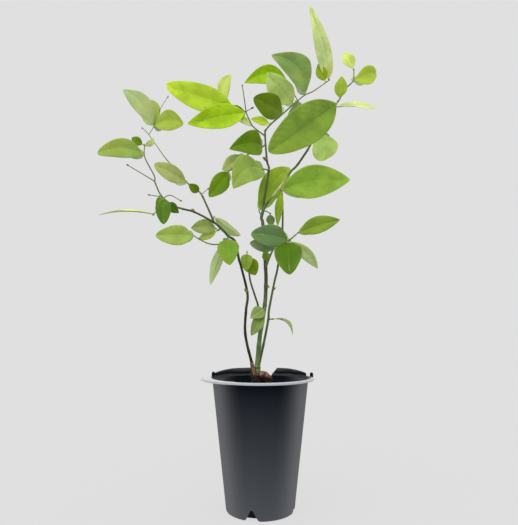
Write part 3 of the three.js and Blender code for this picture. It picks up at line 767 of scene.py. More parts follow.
def stem_part(points, radius, tone, material, knots=(), sides=14, spacing=1.1, foot=0.0, rounded=True):
    """A round stem that thickens at its knots and at its foot, with fine ridges in its bark."""
    places, lengths = evenly(points, spacing)
    total = lengths[-1]
    knot_lengths = np.interp(knots, places, lengths) if len(knots) else np.array([])
    across = np.array([1.0, 0.0, 0.0])
    rings = []
    tones = []
    for place, length in zip(places, lengths):
        centre, along = on_curve(points, place)
        across = unit(across - along * np.dot(across, along))
        other = np.cross(along, across)
        base_radius = mix(*radius, length / total)
        reach = STEM["knot_reach"] * base_radius
        swelling = sum(STEM["knot"] * math.exp(-(((length - k) / reach) ** 2)) for k in knot_lengths)
        flare = foot * math.exp(-length / (STEM["foot_reach"] * base_radius))
        size = base_radius * (1 + swelling + flare)
        if rounded:
            size *= math.sqrt(max(0.02, 1 - max(0, 1 - (total - length) / base_radius) ** 2))
        for outward in around(across, other, sides):
            spot = centre + outward * size
            streak = noise.noise(Vector(centre * 0.16 + outward * 1.9))
            bump = streak + 0.5 * noise.noise(Vector(spot * 0.8))
            rings.append(centre + outward * size * (1 + STEM["ridges"] * bump))
        tones.extend([np.interp(length / total, np.linspace(0, 1, len(tone)), tone)] * sides)
    return mesh_part(rings, ring_faces(len(places), sides), material, tone=np.array(tones))


BUD_PROFILE = [  # height and radius, part of the length
    (-0.15, 0.1), (0, 0.2), (0.18, 0.28), (0.4, 0.3), (0.62, 0.24), (0.82, 0.14), (0.95, 0.06), (1, 0.012),
]


def bud_part(base, direction, length, tone):
    """A pointed bud with a slight waist, closed at its foot."""
    along = unit(direction)
    across = unit(np.cross(along, np.array([0.31, 0.77, 0.55])))
    other = np.cross(along, across)
    sides = 10
    points = []
    for height, radius in BUD_PROFILE:
        for k, outward in enumerate(around(across, other, sides)):
            turn = 2 * math.pi * k / sides
            scale = 1 + 0.08 * math.cos(3 * turn + 4 * height)
            points.append(base + along * height * length + outward * radius * length * scale)
    return mesh_part(points, ring_faces(len(BUD_PROFILE), sides), "bud", tone=np.full(len(points), tone))


BLADE = dict(
    thickness=0.42,
    along_step=1.15,
    rows=(16, 76),
    across_step=1.25,
    half_columns=(4, 13),
    camber=0.16,  # how much each half bulges
    crease=0.006,  # rounds the fold at the rib
    quilt=0.009,  # relief between the side veins, part of the half width
    wave=0.05,  # of the edge, part of the half width
    waves=(1.6, 2.8),  # from the base to the tip
    curl=(-0.01, 0.05),  # of the tip, away from the face
    curl_from=0.55,
    veins=9,  # along each side
    vein_spacing=(3.0, 9.0),
    vein_lean=0.8,
    vein_curl=0.5,
)


def blade_parts(shape, draw):
    """A leaf: its blade with camber, veins and a waving edge, and its stalk with the rib below the blade."""
    length, half = shape["length"], shape["half"]
    rows = int(clamp(length / BLADE["along_step"], *BLADE["rows"]))
    columns = 2 * int(clamp(half / BLADE["across_step"], *BLADE["half_columns"])) + 1
    bare = bare_part(shape)
    spacing = clamp(length / BLADE["veins"], *BLADE["vein_spacing"])
    waves = mix(*BLADE["waves"], draw())
    left_shift, right_shift = draw(), draw()
    tip_curl = mix(*BLADE["curl"], draw())
    stations = [bare + (1 - bare) * 0.5 * (1 - math.cos(math.pi * k / rows)) for k in range(rows + 1)]
    across = np.linspace(-1, 1, columns)
    side_part = np.abs(across)
    soft_side = np.sqrt(side_part**2 + BLADE["crease"]) - math.sqrt(BLADE["crease"])
    upper, lower = [], []
    phase, rib, edge = [], [], []
    for s in stations:
        curled = max(0, s - BLADE["curl_from"]) ** 2 * 4
        centre = midrib(shape, s) - shape["face"] * length * tip_curl * curled
        turn = shape["twist"] * (2 * s - 1)
        face = turned(shape["face"], shape["along"], turn)
        side = turned(shape["side"], shape["along"], turn)
        width = max(0.05, half_width(shape, s))
        spread = across * width * math.cos(shape["fold"])
        lift = soft_side * width * math.sin(shape["fold"])
        lift = lift + BLADE["camber"] * width * (side_part - side_part**2)
        shift = np.where(across < 0, left_shift, right_shift)
        lift = lift + BLADE["wave"] * width * side_part**3 * np.sin(2 * math.pi * (waves * s + shift))
        from_rib = side_part * width
        vein = s * length - from_rib * (BLADE["vein_lean"] + BLADE["vein_curl"] * side_part)
        vein = vein / spacing + 0.06 * math.sin(9 * s + 6 * left_shift)
        fade = np.clip(4 * side_part, 0, 1) * np.clip(5 * (1 - side_part), 0, 1)
        lift = lift - BLADE["quilt"] * half * fade * np.cos(2 * math.pi * vein)
        thick = BLADE["thickness"] / 2 * (1 - 0.5 * side_part**4) * min(1, 0.4 + 4 * (1 - s))
        middle = centre + np.outer(spread, side) + np.outer(lift, face)
        upper.append(middle + np.outer(thick, face))
        lower.append(middle - np.outer(thick, face))
        phase.append(vein)
        rib.append(from_rib)
        edge.append(side_part)
    points = np.concatenate([np.concatenate(upper), np.concatenate(lower)])
    below = len(stations) * columns
    faces = []
    for i in range(rows):
        for j in range(columns - 1):
            a, b = i * columns + j, i * columns + j + 1
            c, d = b + columns, a + columns
            faces.append((a, b, c, d))
            faces.append((below + d, below + c, below + b, below + a))
        a, d = i * columns, (i + 1) * columns
        faces.append((a, d, below + d, below + a))
        b, c = a + columns - 1, d + columns - 1
        faces.append((c, b, below + b, below + c))
    for j in range(columns - 1):
        faces.append((j + 1, j, below + j, below + j + 1))
        a = rows * columns + j
        faces.append((a, a + 1, below + a + 1, below + a))
    numbers = {
        "phase": np.tile(np.concatenate(phase), 2),
        "rib": np.tile(np.concatenate(rib), 2),
        "edge": np.tile(np.concatenate(edge), 2),
        "under": np.repeat([0.0, 1.0], below),
    }
    blade = mesh_part(points, faces, shape["look"], **numbers)
    return [blade, stalk_part(shape)]


STALK = dict(
    thinnest=0.34,
    thickest=0.62,
    thicker=0.0045,  # per millimetre of the leaf
    runs_to=0.93,  # part of the leaf
    taper=0.78,
    foot=1.35,
    sunk=0.55,  # below the blade, part of its radius
)


def stalk_part(shape):
    """The leaf's stalk, which runs on under the blade as its rib."""
    sides, steps = 7, 18
    length = shape["length"]
    thick = min(STALK["thickest"], STALK["thinnest"] + length * STALK["thicker"])
    points = []
    for k in range(steps + 1):
        s = STALK["runs_to"] * k / steps
        size = thick * (1 - STALK["taper"] * s) * (STALK["foot"] if k == 0 else 1)
        sink = size * STALK["sunk"] * min(1, s / (bare_part(shape) + 0.02))
        centre = midrib(shape, s) - shape["face"] * sink
        points.extend(centre + outward * size for outward in around(shape["side"], shape["face"], sides))
    return mesh_part(points, ring_faces(steps + 1, sides), "stalk")


# ---- Materials


PRINCIPLED = "ShaderNodeBsdfPrincipled"
MIXED = "ShaderNodeMixShader"


class Nodes:
    """Short ways to add the nodes that the materials share."""

    def __init__(self, tree):
        self.tree = tree

    def add(self, kind, **settings):
        node = self.tree.nodes.new(kind)
        for key, value in settings.items():
            setattr(node, key, value)
        return node

    def put(self, value, socket):
        """Sets the socket to a number or a colour, or links it to another node's output."""
        if isinstance(value, (int, float, tuple)):
            socket.default_value = value
        else:
            self.tree.links.new(value, socket)

    def join(self, kind, *values, **settings):
        """A node that takes the values in its first sockets."""
        node = self.add(kind, **settings)
        for socket, value in zip(node.inputs, values):
            self.put(value, socket)
        return node.outputs[0]

    def shader(self, kind, **values):
        """A node with the values in the sockets that they name, with _ for a space."""
        node = self.add(kind)
        for key, value in values.items():
            self.put(value, node.inputs[key.replace("_", " ")])
        return node.outputs[0]

    def number(self, name):
        return self.add("ShaderNodeAttribute", attribute_name=name).outputs["Fac"]

    def math(self, operation, first, second):
        return self.join("ShaderNodeMath", first, second, operation=operation)

    def ramp(self, value, low, high, to_low=0.0, to_high=1.0, smooth=True):
        kind = "SMOOTHSTEP" if smooth else "LINEAR"
        return self.join("ShaderNodeMapRange", value, low, high, to_low, to_high, interpolation_type=kind)

    def noise(self, scale, detail=3.0, stretch=None, distortion=0.0):
        place = self.add("ShaderNodeTexCoord").outputs["Object"]
        if stretch:
            mapping = self.add("ShaderNodeMapping")
            mapping.inputs["Scale"].default_value = stretch
            self.put(place, mapping.inputs["Vector"])
            place = mapping.outputs["Vector"]
        sockets = dict(Vector=place, Scale=scale, Detail=detail, Distortion=distortion)
        return self.shader("ShaderNodeTexNoise", **sockets)

    def blend(self, factor, first, second, mode="MIX"):
        node = self.add("ShaderNodeMix", data_type="RGBA", blend_type=mode)
        for socket, value in ((node.inputs[0], factor), (node.inputs[6], first), (node.inputs[7], second)):
            self.put(value, socket)
        return node.outputs[2]

    def times(self, colour, factor):
        return self.blend(1.0, colour, (factor, factor, factor, 1.0), mode="MULTIPLY")

    def bump(self, height, strength, distance, before=None):
        sockets = dict(Height=height, Strength=strength, Distance=distance)
        if before is not None:
            sockets["Normal"] = before
        return self.shader("ShaderNodeBump", **sockets)

    def finish(self, shader):
        self.put(shader, self.add("ShaderNodeOutputMaterial").inputs["Surface"])


def new_material(name):
    """An empty material and its nodes."""
    material = bpy.data.materials.new(name)
    material.use_nodes = True
    material.node_tree.nodes.clear()
    return material, Nodes(material.node_tree)


def shade(colour, factor):
    return tuple(min(1.0, c * factor) for c in colour[:3]) + (1.0,)


def toward(colour, other, part):
    return tuple(mix(a, b, part) for a, b in zip(colour[:3], other[:3])) + (1.0,)


# Each of these is times the leaf's own colour.
MOTTLE = (0.8, 1.12)  # its darkest and lightest parts
SUNNED = (1.6, 1.25, 0.8)  # broad yellowish patches
SPOT = 0.5  # faint dark spots
SIDE_VEIN = 1.35
# The leaf's colour goes this part of the way to another green.
RIM = dict(shade=1.2, green=srgb(190, 205, 90), part=0.25)
UNDERSIDE = ((srgb(165, 185, 135), 0.45), (srgb(178, 196, 150), 0.6))
VEIN_BELOW = srgb(200, 212, 150)
GLOW = dict(shade=1.5, part=0.15)  # the light that comes through the blade


def leaf_material(name, colour, rib_shade):
    """A leaf: mottled green with its own shade of rib, paler veins and edge, and a dull pale underside."""
    material, n = new_material(name)
    edge, rib = n.number("edge"), n.number("rib")
    mottle = n.ramp(n.noise(70, 4.0), 0.3, 0.7)
    upper = n.blend(mottle, *(shade(colour, factor) for factor in MOTTLE))
    sunned = tuple(min(1, level * factor) for level, factor in zip(colour, SUNNED)) + (1.0,)
    patches = n.ramp(n.noise(22, 1.0), 0.42, 0.75, 0.0, 0.5)
    spots = n.ramp(n.noise(330, 1.0), 0.66, 0.74, 0.0, 0.3)
    upper = n.blend(spots, n.blend(patches, upper, sunned), shade(colour, SPOT))
    side_vein = n.ramp(n.math("PINGPONG", n.number("phase"), 0.5), 0.015, 0.085, 1.0, 0.0)
    side_vein = n.math("MULTIPLY", side_vein, n.ramp(edge, 0.7, 0.98, 1.0, 0.0))
    main_vein = n.ramp(rib, 0.25, 0.75, 1.0, 0.0)
    veins = n.math("MAXIMUM", n.math("MULTIPLY", side_vein, 0.45), main_vein)
    upper = n.blend(n.math("MULTIPLY", side_vein, 0.14), upper, shade(colour, SIDE_VEIN))
    upper = n.blend(n.math("MULTIPLY", main_vein, 0.5), upper, shade(colour, rib_shade))
    rim = toward(shade(colour, RIM["shade"]), RIM["green"], RIM["part"])
    upper = n.blend(n.ramp(edge, 0.9, 1.0, 0.0, 0.5), upper, rim)
    below = n.blend(mottle, *(toward(colour, green, part) for green, part in UNDERSIDE))
    below = n.blend(n.math("MULTIPLY", veins, 0.5), below, VEIN_BELOW)
    base = n.blend(n.number("under"), upper, below)
    cells = n.math("MULTIPLY", n.noise(900, 2.0), 0.25)
    height = n.math("SUBTRACT", cells, n.math("MULTIPLY", veins, 0.6))
    skin = n.shader(
        PRINCIPLED,
        Base_Color=base,
        Roughness=n.ramp(n.noise(160, 2.0), 0.3, 0.7, 0.4, 0.56),
        Normal=n.bump(height, 0.35, 0.0004),
        Specular_IOR_Level=0.14,
    )
    glow = n.shader("ShaderNodeBsdfTranslucent", Color=n.blend(0.5, base, shade(colour, GLOW["shade"])))
    n.finish(n.join(MIXED, GLOW["part"], skin, glow))
    return material


PALE_SKIN = srgb(204, 216, 146)  # of the youngest stems
# The near black of painted shade, for the crown's holes and its foot by the soil.
PAINTED_SHADE = srgb(22, 9, 6)
SPECK = srgb(150, 138, 108)


def bark_material(name, young, old, roughness, relief):
    """Bark from young green to old brown by the tone of each point, darkening towards painted shade above 1,
    with fine lengthwise streaks.
    """
    material, n = new_material(name)
    streaks = n.noise(420, 4.0, stretch=(1.0, 1.0, 0.16), distortion=0.4)
    tone = n.math("ADD", n.number("tone"), n.ramp(n.noise(90, 3.0), 0.3, 0.7, -0.14, 0.14))
    colour = n.blend(n.ramp(tone, 0.0, 1.0, smooth=False), young, old)
    colour = n.blend(n.ramp(tone, -1.0, 0.0, 1.0, 0.0, smooth=False), colour, PALE_SKIN)
    # Tone from 1 to 2 goes to the near black of painted shade.
    colour = n.blend(n.ramp(tone, 1.0, 2.0, smooth=False), colour, PAINTED_SHADE)
    colour = n.blend(n.ramp(streaks, 0.35, 0.68), n.times(colour, 0.62), colour)
    specks = n.ramp(n.noise(1500, 1.0), 0.66, 0.74)
    bark = n.shader(
        PRINCIPLED,
        Base_Color=n.blend(n.math("MULTIPLY", specks, 0.5), colour, SPECK),
        Roughness=n.ramp(streaks, 0.3, 0.7, roughness - 0.08, roughness + 0.1),
        Normal=n.bump(streaks, 0.7, relief),
        Specular_IOR_Level=0.2,
    )
    n.finish(bark)
    return material


def stalk_material(name, colour):
    material, n = new_material(name)
    mottle = n.ramp(n.noise(260, 3.0), 0.3, 0.7)
    green = n.blend(mottle, *(shade(colour, factor) for factor in MOTTLE))
    n.finish(n.shader(PRINCIPLED, Base_Color=green, Roughness=n.ramp(mottle, 0, 1, 0.42, 0.55)))
    return material


SHEEN_SPREAD = 0.4
EDGE_GLOSS = dict(colour=(0.2, 0.205, 0.215, 1.0), roughness=0.5, turned=(0.12, 0.65))
WALL_EDGE = 0.75  # how much of that gloss the pot's wall has where it turns away


def plastic_material(name, levels, roughness, gloss, sheen=0.0, edge_part=0.0):
    """Moulded plastic, coloured by height from (millimetres, colour) levels that paint light and shade on
    it, with faint flow lines.
    """
    material, n = new_material(name)
    place = n.add("ShaderNodeSeparateXYZ")
    n.put(n.add("ShaderNodeTexCoord").outputs["Object"], place.inputs[0])
    lines = n.noise(60, 3.0, stretch=(1.0, 1.0, 0.08))
    grain = n.noise(1300, 2.0)
    height = n.math("ADD", place.outputs["Z"], n.ramp(lines, 0.3, 0.7, -0.0008, 0.0008))
    colour = levels[0][1]
    for (low, _), (high, colour_above) in zip(levels, levels[1:]):
        colour = n.blend(n.ramp(height, low * MM, high * MM, smooth=False), colour, colour_above)
    plastic = n.shader(
        PRINCIPLED,
        Base_Color=n.blend(n.ramp(grain, 0.62, 0.8, 0.0, 0.4), colour, n.times(colour, 1.5)),
        Roughness=n.ramp(lines, 0.3, 0.7, roughness - 0.05, roughness + 0.07),
        Normal=n.bump(grain, 0.12, 0.0003, n.bump(lines, 0.1, 0.001)),
        Specular_IOR_Level=gloss,
        Sheen_Weight=sheen,
        Sheen_Roughness=SHEEN_SPREAD,
    )
    facing = n.add("ShaderNodeLayerWeight").outputs["Facing"]
    shine = n.shader(
        "ShaderNodeBsdfAnisotropic", Color=EDGE_GLOSS["colour"], Roughness=EDGE_GLOSS["roughness"]
    )
    n.finish(n.join(MIXED, n.ramp(facing, *EDGE_GLOSS["turned"], 0.0, edge_part), plastic, shine))
    return material


def earth_material(name, dark, light):
    material, n = new_material(name)
    clumps = n.noise(450, 5.0)
    earth = n.shader(
        PRINCIPLED,
        Base_Color=n.blend(n.ramp(clumps, 0.35, 0.7), dark, light),
        Roughness=n.ramp(clumps, 0.3, 0.7, 0.95, 0.7),
        Normal=n.bump(n.noise(1400, 4.0), 0.9, 0.0008),
        Specular_IOR_Level=0.2,
    )
    n.finish(earth)
    return material


plant_materials = {
    look: leaf_material(f"leaf_{look}", colour, RIB_SHADES.get(look, PALE_RIB))
    for look, colour in LEAF_LOOKS.items()
}
plant_materials |= {
    "stalk": stalk_material("leaf_stalk", srgb(158, 178, 84)),
    "stem": bark_material("stem_bark", srgb(104, 130, 70), srgb(42, 38, 24), 0.5, 0.0003),
    "twig": bark_material("twig_bark", srgb(132, 148, 84), srgb(74, 72, 46), 0.5, 0.0002),
    "crown": bark_material("crown_bark", srgb(152, 118, 94), srgb(60, 32, 20), 0.75, 0.0012),
    "bud": bark_material("bud_scales", srgb(140, 158, 72), srgb(92, 62, 40), 0.45, 0.0002),
}
# The wall's black plastic, painted lighter towards the foot as a painted reflection of the floor, and
# darkest, with a bluish tint, under the flange as a painted shade.
WALL_PAINTED_LIGHT = [(0, srgb(71, 74, 79)), (122, srgb(8, 14, 23))]
# The flange and the outside of the collar: the light grey is a painted highlight on the black plastic.
RIM_PAINTED_HIGHLIGHT = [(0, srgb(156, 158, 161)), (125, srgb(160, 162, 165))]
# The inside of the collar and of the wall above the mix, painted in light and shade on the black plastic:
# lighter grey down by the step, a dark band of painted shade at the foot of the collar, and a painted
# highlight rising to its top edge.
LINING_PAINTED_LIGHT = [
    (116.5, srgb(40, 40, 43)), (120, srgb(54, 55, 58)), (124.9, srgb(48, 49, 52)),
    (125.2, srgb(16, 16, 19)), (126.5, srgb(16, 16, 19)), (130.3, srgb(80, 82, 86)),
]
pot_materials = {
    "wall": plastic_material("pot_wall", WALL_PAINTED_LIGHT, 0.36, 0.03, edge_part=WALL_EDGE),
    "rim": plastic_material("pot_rim", RIM_PAINTED_HIGHLIGHT, 0.42, 0.3, sheen=0.3),
    "lining": plastic_material("pot_lining", LINING_PAINTED_LIGHT, 0.5, 0.03),
}
soil_materials = {
    "mix": earth_material("potting_mix", srgb(14, 12, 11), srgb(46, 37, 31)),
    # Nearly black: painted shade on the side of the mix, where it shows through the drain holes.
    "side": earth_material("painted_shade_mix", srgb(4, 4, 4), srgb(14, 12, 11)),
    "chip": earth_material("bark_chips", srgb(52, 33, 24), srgb(100, 70, 50)),
}

# ---- The plant's pieces

for name, row in LIMBS.items():
    bark = dict(knots=row["knots"], foot=FLARE["limb"], rounded=False)
    parts = [stem_part(limbs[name], row["radius"], row["tone"], "stem", **bark)]
    for bud_limb, place, tip in STEM_BUDS:
        if bud_limb == name:
            start = point_on(limbs[name], place)
            reach = at(tip) - start
            parts.append(bud_part(start, reach, np.linalg.norm(reach), LIMB_BUD_TONE))
    make_piece(f"{name}_bark", parts, plant_materials, name)


def shoot_pieces(plan):
    """The shoot's leaves in one piece, and its stem, twigs, stalks and buds in another."""
    row, draw = plan["row"], seeded(BLADE_SEED + len(plan["name"]))
    knots = sorted({leaf_row["at"] for leaf_row in row["leaves"] if "on" not in leaf_row})
    foot = FLARE["twig"]
    woody = [stem_part(plan["stem"], row["radius"], TONES["stem"], "twig", knots, sides=10, foot=foot)]
    for points in plan["twigs"].values():
        radius = (row["radius"][1], row["radius"][1] * TWIG_TAPER)
        woody.append(stem_part(points, radius, TONES["twig"], "twig", sides=9, foot=foot))
    for points in (plan["stem"], *plan["twigs"].values()):
        end, direction = on_curve(points, len(points) - 1)
        woody.append(bud_part(end - direction * 0.3, direction, *BUDS["end"]))
    green = []
    for shape in plan["leaves"]:
        blade, stalk = blade_parts(shape, draw)
        green.append(blade)
        woody.append(stalk)
        toward_tip = unit(shape["along"] + 1.1 * shape["stem_direction"])
        woody.append(bud_part(shape["base"] + toward_tip * 0.5, toward_tip, *BUDS["side"]))
    if plan["name"] == SPUR[0]:
        start, end = point_on(plan["stem"], SPUR[1]), at(SPUR[2])
        path = [start, (start + end) / 2, end]
        woody.append(stem_part(path, SPUR_RADIUS, TONES["spur"], "twig", sides=8))
        woody.append(bud_part(end, end - start, *BUDS["spur"]))
    make_piece(f"{plan['name']}_leaves", green, plant_materials, plan["name"])
    make_piece(f"{plan['name']}_twigs", woody, plant_materials)


for plan in plans:
    shoot_pieces(plan)

# ---- The woody crown

SOIL = 114.0
# The crown's flared foot, with heights from the soil up. Grain is the size of its melted mesh's cells.
CROWN = dict(middle=(-0.5, 122, 0), heights=(-5, 0, 4, 8), radius=(11, 5), grain=0.42)
FOOT_SHADE_HEIGHTS = (124.0, 128.5)  # between these heights the bark goes from painted shade at its foot, by the soil, to its own tone
GREEN = dict(corner=(-4.4, 138.6, 0), width=5.2, slant=0.12, tone=0.05)  # the stubs' young bark
FINENESS = dict(lumps=0.3, ridges=0.55, flakes=1.3)
DRAWN_OUT = 0.35  # ridges and flakes are long and upright
RELIEF = dict(lumps=0.7, ridges=0.3, flakes=0.25, sunk=0.2)
# The crown's tones, with painted light and shade: upward faces lighter, faces turned left or down darker,
# the holes and the foot by the soil darker, and the ridge crests lighter. Flakes differ at random.
BARK_TONE = dict(middle=0.5, flakes=0.7, upward=0.4, hollow=1.4, foot_shade=1.2, crest_highlight=2.0)
CREST_HIGHLIGHT_FROM = 0.75  # of a ridge's height, above which its crest is painted lighter, a painted highlight
HOLES = [  # in the crown's bark: place, width and depth; each is also painted dark inside, a painted shade
    ((-3.2, 133.4, -9), 1.5, 1.4), ((-5.8, 132.4, -9), 1.3, 1.2), ((-5.4, 129.5, -10), 1.5, 1.2),
    ((3.6, 137.4, -9), 1.2, 0.8), ((0.5, 130.5, -11), 2.2, 1.0), ((6.5, 130, -11), 2.0, 0.8),
]


def is_green(spot):
    """Whether the spot lies above the green bark's corner and to its right."""
    corner = at(GREEN["corner"])
    left = corner[0] - GREEN["slant"] * (spot.z - corner[2])
    return spot.z > corner[2] and left < spot.x < left + GREEN["width"]


def crown_piece():
    """The flared foot, the stubs and the knob of old root, melted into one and given flaky bark with painted
    light and shade.
    """
    middle = at(CROWN["middle"])
    flare = [np.array([middle[0], middle[1], SOIL + height]) for height in CROWN["heights"]]
    fine = dict(sides=24, spacing=0.8)
    parts = [stem_part(flare, CROWN["radius"], (1, 1), "crown", rounded=False, **fine)]
    for stub, row in STUBS.items():
        blunt = stub == "root_knob"
        parts.append(stem_part(limbs[stub], row["radius"], (1, 1), "crown", rounded=blunt, **fine))
    piece = make_piece("crown_bark", parts, plant_materials, "trunk")
    reshape(piece, "REMESH", mode="VOXEL", voxel_size=CROWN["grain"] * MM)
    reshape(piece, "SMOOTH", factor=0.5, iterations=4)
    mesh = piece.data
    tones = []
    holes = [(Vector(at(place)), width, depth) for place, width, depth in HOLES]
    for vertex in mesh.vertices:
        spot = vertex.co / MM
        stretched = Vector((spot.x, spot.y, spot.z * DRAWN_OUT))
        lumps = noise.noise(spot * FINENESS["lumps"])
        ridges = 1 - abs(noise.noise(stretched * FINENESS["ridges"])) * 2
        flakes = noise.noise(stretched * FINENESS["flakes"])
        hollow = sum(
            depth * math.exp(-(((spot - hole).length / width) ** 2)) for hole, width, depth in holes
        )
        raised = RELIEF["lumps"] * lumps + RELIEF["ridges"] * ridges + RELIEF["flakes"] * flakes
        vertex.co += vertex.normal * MM * (raised - RELIEF["sunk"] - hollow)
        # Painted shade: the bark darkens towards the soil.
        foot_shade = clamp((FOOT_SHADE_HEIGHTS[1] - spot.z) / (FOOT_SHADE_HEIGHTS[1] - FOOT_SHADE_HEIGHTS[0]), 0, 1)
        # Painted light and shade: faces turned to the left or downward are darker, faces turned up are
        # lighter.
        side_light_and_shade = max(0, -vertex.normal.x) - BARK_TONE["upward"] * vertex.normal.z
        tone = BARK_TONE["middle"] + BARK_TONE["flakes"] * flakes + side_light_and_shade
        # Painted shade: darker in the holes and towards the soil.
        tone = tone + BARK_TONE["hollow"] * hollow + BARK_TONE["foot_shade"] * foot_shade
        # Painted highlight: lighter along the ridge crests.
        tone = tone - BARK_TONE["crest_highlight"] * max(0, ridges - CREST_HIGHLIGHT_FROM)
        tones.append(GREEN["tone"] if is_green(spot) else tone)
    attribute = mesh.attributes.new("tone", "FLOAT", "POINT")
    attribute.data.foreach_set("value", np.clip(tones, GREEN["tone"], 2))
    mesh.materials.clear()
    mesh.materials.append(plant_materials["crown"])
    mesh.materials.append(plant_materials["stem"])
    for face in mesh.polygons:
        face.material_index = int(is_green(face.center / MM))
    mesh.shade_smooth()


crown_piece()

# ---- The potting mix

POT = dict(
    foot_radius=33.1,
    top_radius=47.6,  # of the wall, where it meets the flange
    wall=1.7,
    floor=2.2,
    flange_radius=53.5,
    flange_top=125.0,
    flange_thickness=2.2,
    collar_radius=50.0,
    collar_wall=1.6,
    height=130.5,
)
COLLAR_INNER = POT["collar_radius"] - POT["collar_wall"]
UNDER_FLANGE = POT["flange_top"] - POT["flange_thickness"]
CLEAR = 0.4  # between the mix and the wall
LUMPS = dict(broad=0.11, small=0.35, small_part=0.6, height=0.8, sunk=0.9)
HEAP = dict(height=1.6, spread=200)
CRUMBS = dict(seed=77, count=620, within=0.97, size=(0.5, 1.5), lean=(-0.5, 0.5), rough=0.3, fine_from=1.1)
CRUMB = dict(width=(0.7, 1), height=0.75)
CHIP = dict(share=0.22, larger=1.5, width=(0.5, 0.8), height=(0.25, 0.4))


def inner_radius(z):
    """Of the pot's wall, below the flange."""
    part = (z - POT["floor"]) / (UNDER_FLANGE - POT["floor"])
    return mix(POT["foot_radius"], POT["top_radius"], part) - POT["wall"]


def soil_height(x, y):
    """The lumpy top of the mix, heaped a little round the crown."""
    broad = noise.noise(Vector((x * LUMPS["broad"], y * LUMPS["broad"], 3.1)))
    small = noise.noise(Vector((x * LUMPS["small"], y * LUMPS["small"], 7.7)))
    heap = HEAP["height"] * math.exp(-(x**2 + y**2) / HEAP["spread"])
    lumps = broad + LUMPS["small_part"] * small
    return SOIL - LUMPS["sunk"] + LUMPS["height"] * lumps + heap


def soil_piece():
    """The mix: its lumpy top, its side along the pot's wall, and the crumbs that lie on it."""
    radius = inner_radius(SOIL) - CLEAR
    rings, sides = 34, 110
    points = [(0, 0, soil_height(0, 0))]
    for ring in range(1, rings + 1):
        points.extend((x, y, soil_height(x, y)) for x, y, _ in circle(radius * ring / rings, 0, sides))
    faces = [(0, 1 + k, 1 + (k + 1) % sides) for k in range(sides)]
    for ring in range(rings - 1):
        start = 1 + ring * sides
        for k in range(sides):
            near, far = start + k, start + (k + 1) % sides
            faces.append((near, near + sides, far + sides, far))
    parts = [mesh_part(points, faces, "mix")]
    foot, bottom = inner_radius(POT["floor"]) - CLEAR, POT["floor"] + 0.3
    wall = [*circle(foot, bottom, sides), *points[-sides:]]
    # The side is nearly black, painted shade where it shows through the drain holes.
    parts.append(mesh_part(wall, ring_faces(2, sides)[:-1], "side"))
    draw = seeded(CRUMBS["seed"])
    for _ in range(CRUMBS["count"]):
        away, turn = radius * CRUMBS["within"] * math.sqrt(draw()), 2 * math.pi * draw()
        parts.append(crumb_part(away * math.cos(turn), away * math.sin(turn), draw))
    make_piece("potting_mix_crumbs", parts, soil_materials, "potting_mix")


def crumb_part(x, y, draw):
    """A crumb of peat, or now and then a flat chip of bark."""
    chip = draw() < CHIP["share"]
    size = mix(*CRUMBS["size"], draw() ** 2) * (CHIP["larger"] if chip else 1)
    if chip:
        stretch = (1, mix(*CHIP["width"], draw()), mix(*CHIP["height"], draw()))
    else:
        stretch = (1, mix(*CRUMB["width"], draw()), CRUMB["height"])
    turn, lean = 2 * math.pi * draw(), mix(*CRUMBS["lean"], draw())
    ball = bmesh.new()
    bmesh.ops.create_icosphere(ball, subdivisions=2 if size > CRUMBS["fine_from"] else 1, radius=1)
    seed = Vector((x, y, 5 * draw()))
    points = []
    for vertex in ball.verts:
        scale = 1 + CRUMBS["rough"] * noise.noise(vertex.co * 1.7 + seed)
        spot = np.array(vertex.co) * scale * size * np.array(stretch)
        spot = turned(spot, np.array([1.0, 0, 0]), lean)
        spot = turned(spot, np.array([0, 0, 1.0]), turn)
        points.append(spot + np.array([x, y, soil_height(x, y) + 0.25 * size]))
    faces = [tuple(v.index for v in face.verts) for face in ball.faces]
    ball.free()
    return mesh_part(points, faces, "chip" if chip else "mix")


soil_piece()

# ---- The pot

COLLAR = dict(end=16.0, end_height=2.6, full_from=40.0)  # it stands only behind
PEGS = dict(places=[(-48, 12), (51.6, 4)], width=3.2, length=3.4, height=4.4, sunk=1, softened=0.3)
LUG = dict(reach=58.5, rear=5.0, corner=4.0, bend_from=-8.0, pull=(-49, -42), meets=(-24, -47.8))
RIM_NOTCH = dict(left=-4.0, right=11.5, right_at_top=18.5, bottom=121.5)
DRAIN = dict(count=4, half_width=9.5, half_waist=3.0, height=10.0, inward=9.5, first_at=math.radians(-103.6))
OVER = 4.0  # how far a cut runs past what it cuts
ROUND = 0.7  # of the rims
SHARP = math.radians(35)  # an edge that turns by more stays sharp
NEAR = 0.05  # allowed when a face is told apart by where it lies


def pulled(start, pull, end, part):
    """A point of the curve from start to end that the middle point pulls to itself."""
    return (1 - part) ** 2 * start + 2 * part * (1 - part) * pull + part**2 * end


def arc(x, y, radius, start, end):
    """Points of a circle in its plane, between two angles."""
    return [(x + radius * math.cos(t), y + radius * math.sin(t)) for t in np.linspace(start, end, 9)]


def rounded(corners):
    """The profile with a short arc in place of each corner that has a radius."""
    profile = []
    for k, (x, z, radius) in enumerate(corners):
        here = np.array([x, z])
        if not radius:
            profile.append(tuple(here))
            continue
        before = unit(np.array(corners[k - 1][:2]) - here)
        after = unit(np.array(corners[k + 1][:2]) - here)
        start, end = here + before * radius, here + after * radius
        profile.extend(tuple(pulled(start, here, end, part)) for part in (0, 0.25, 0.5, 0.75, 1))
    return profile


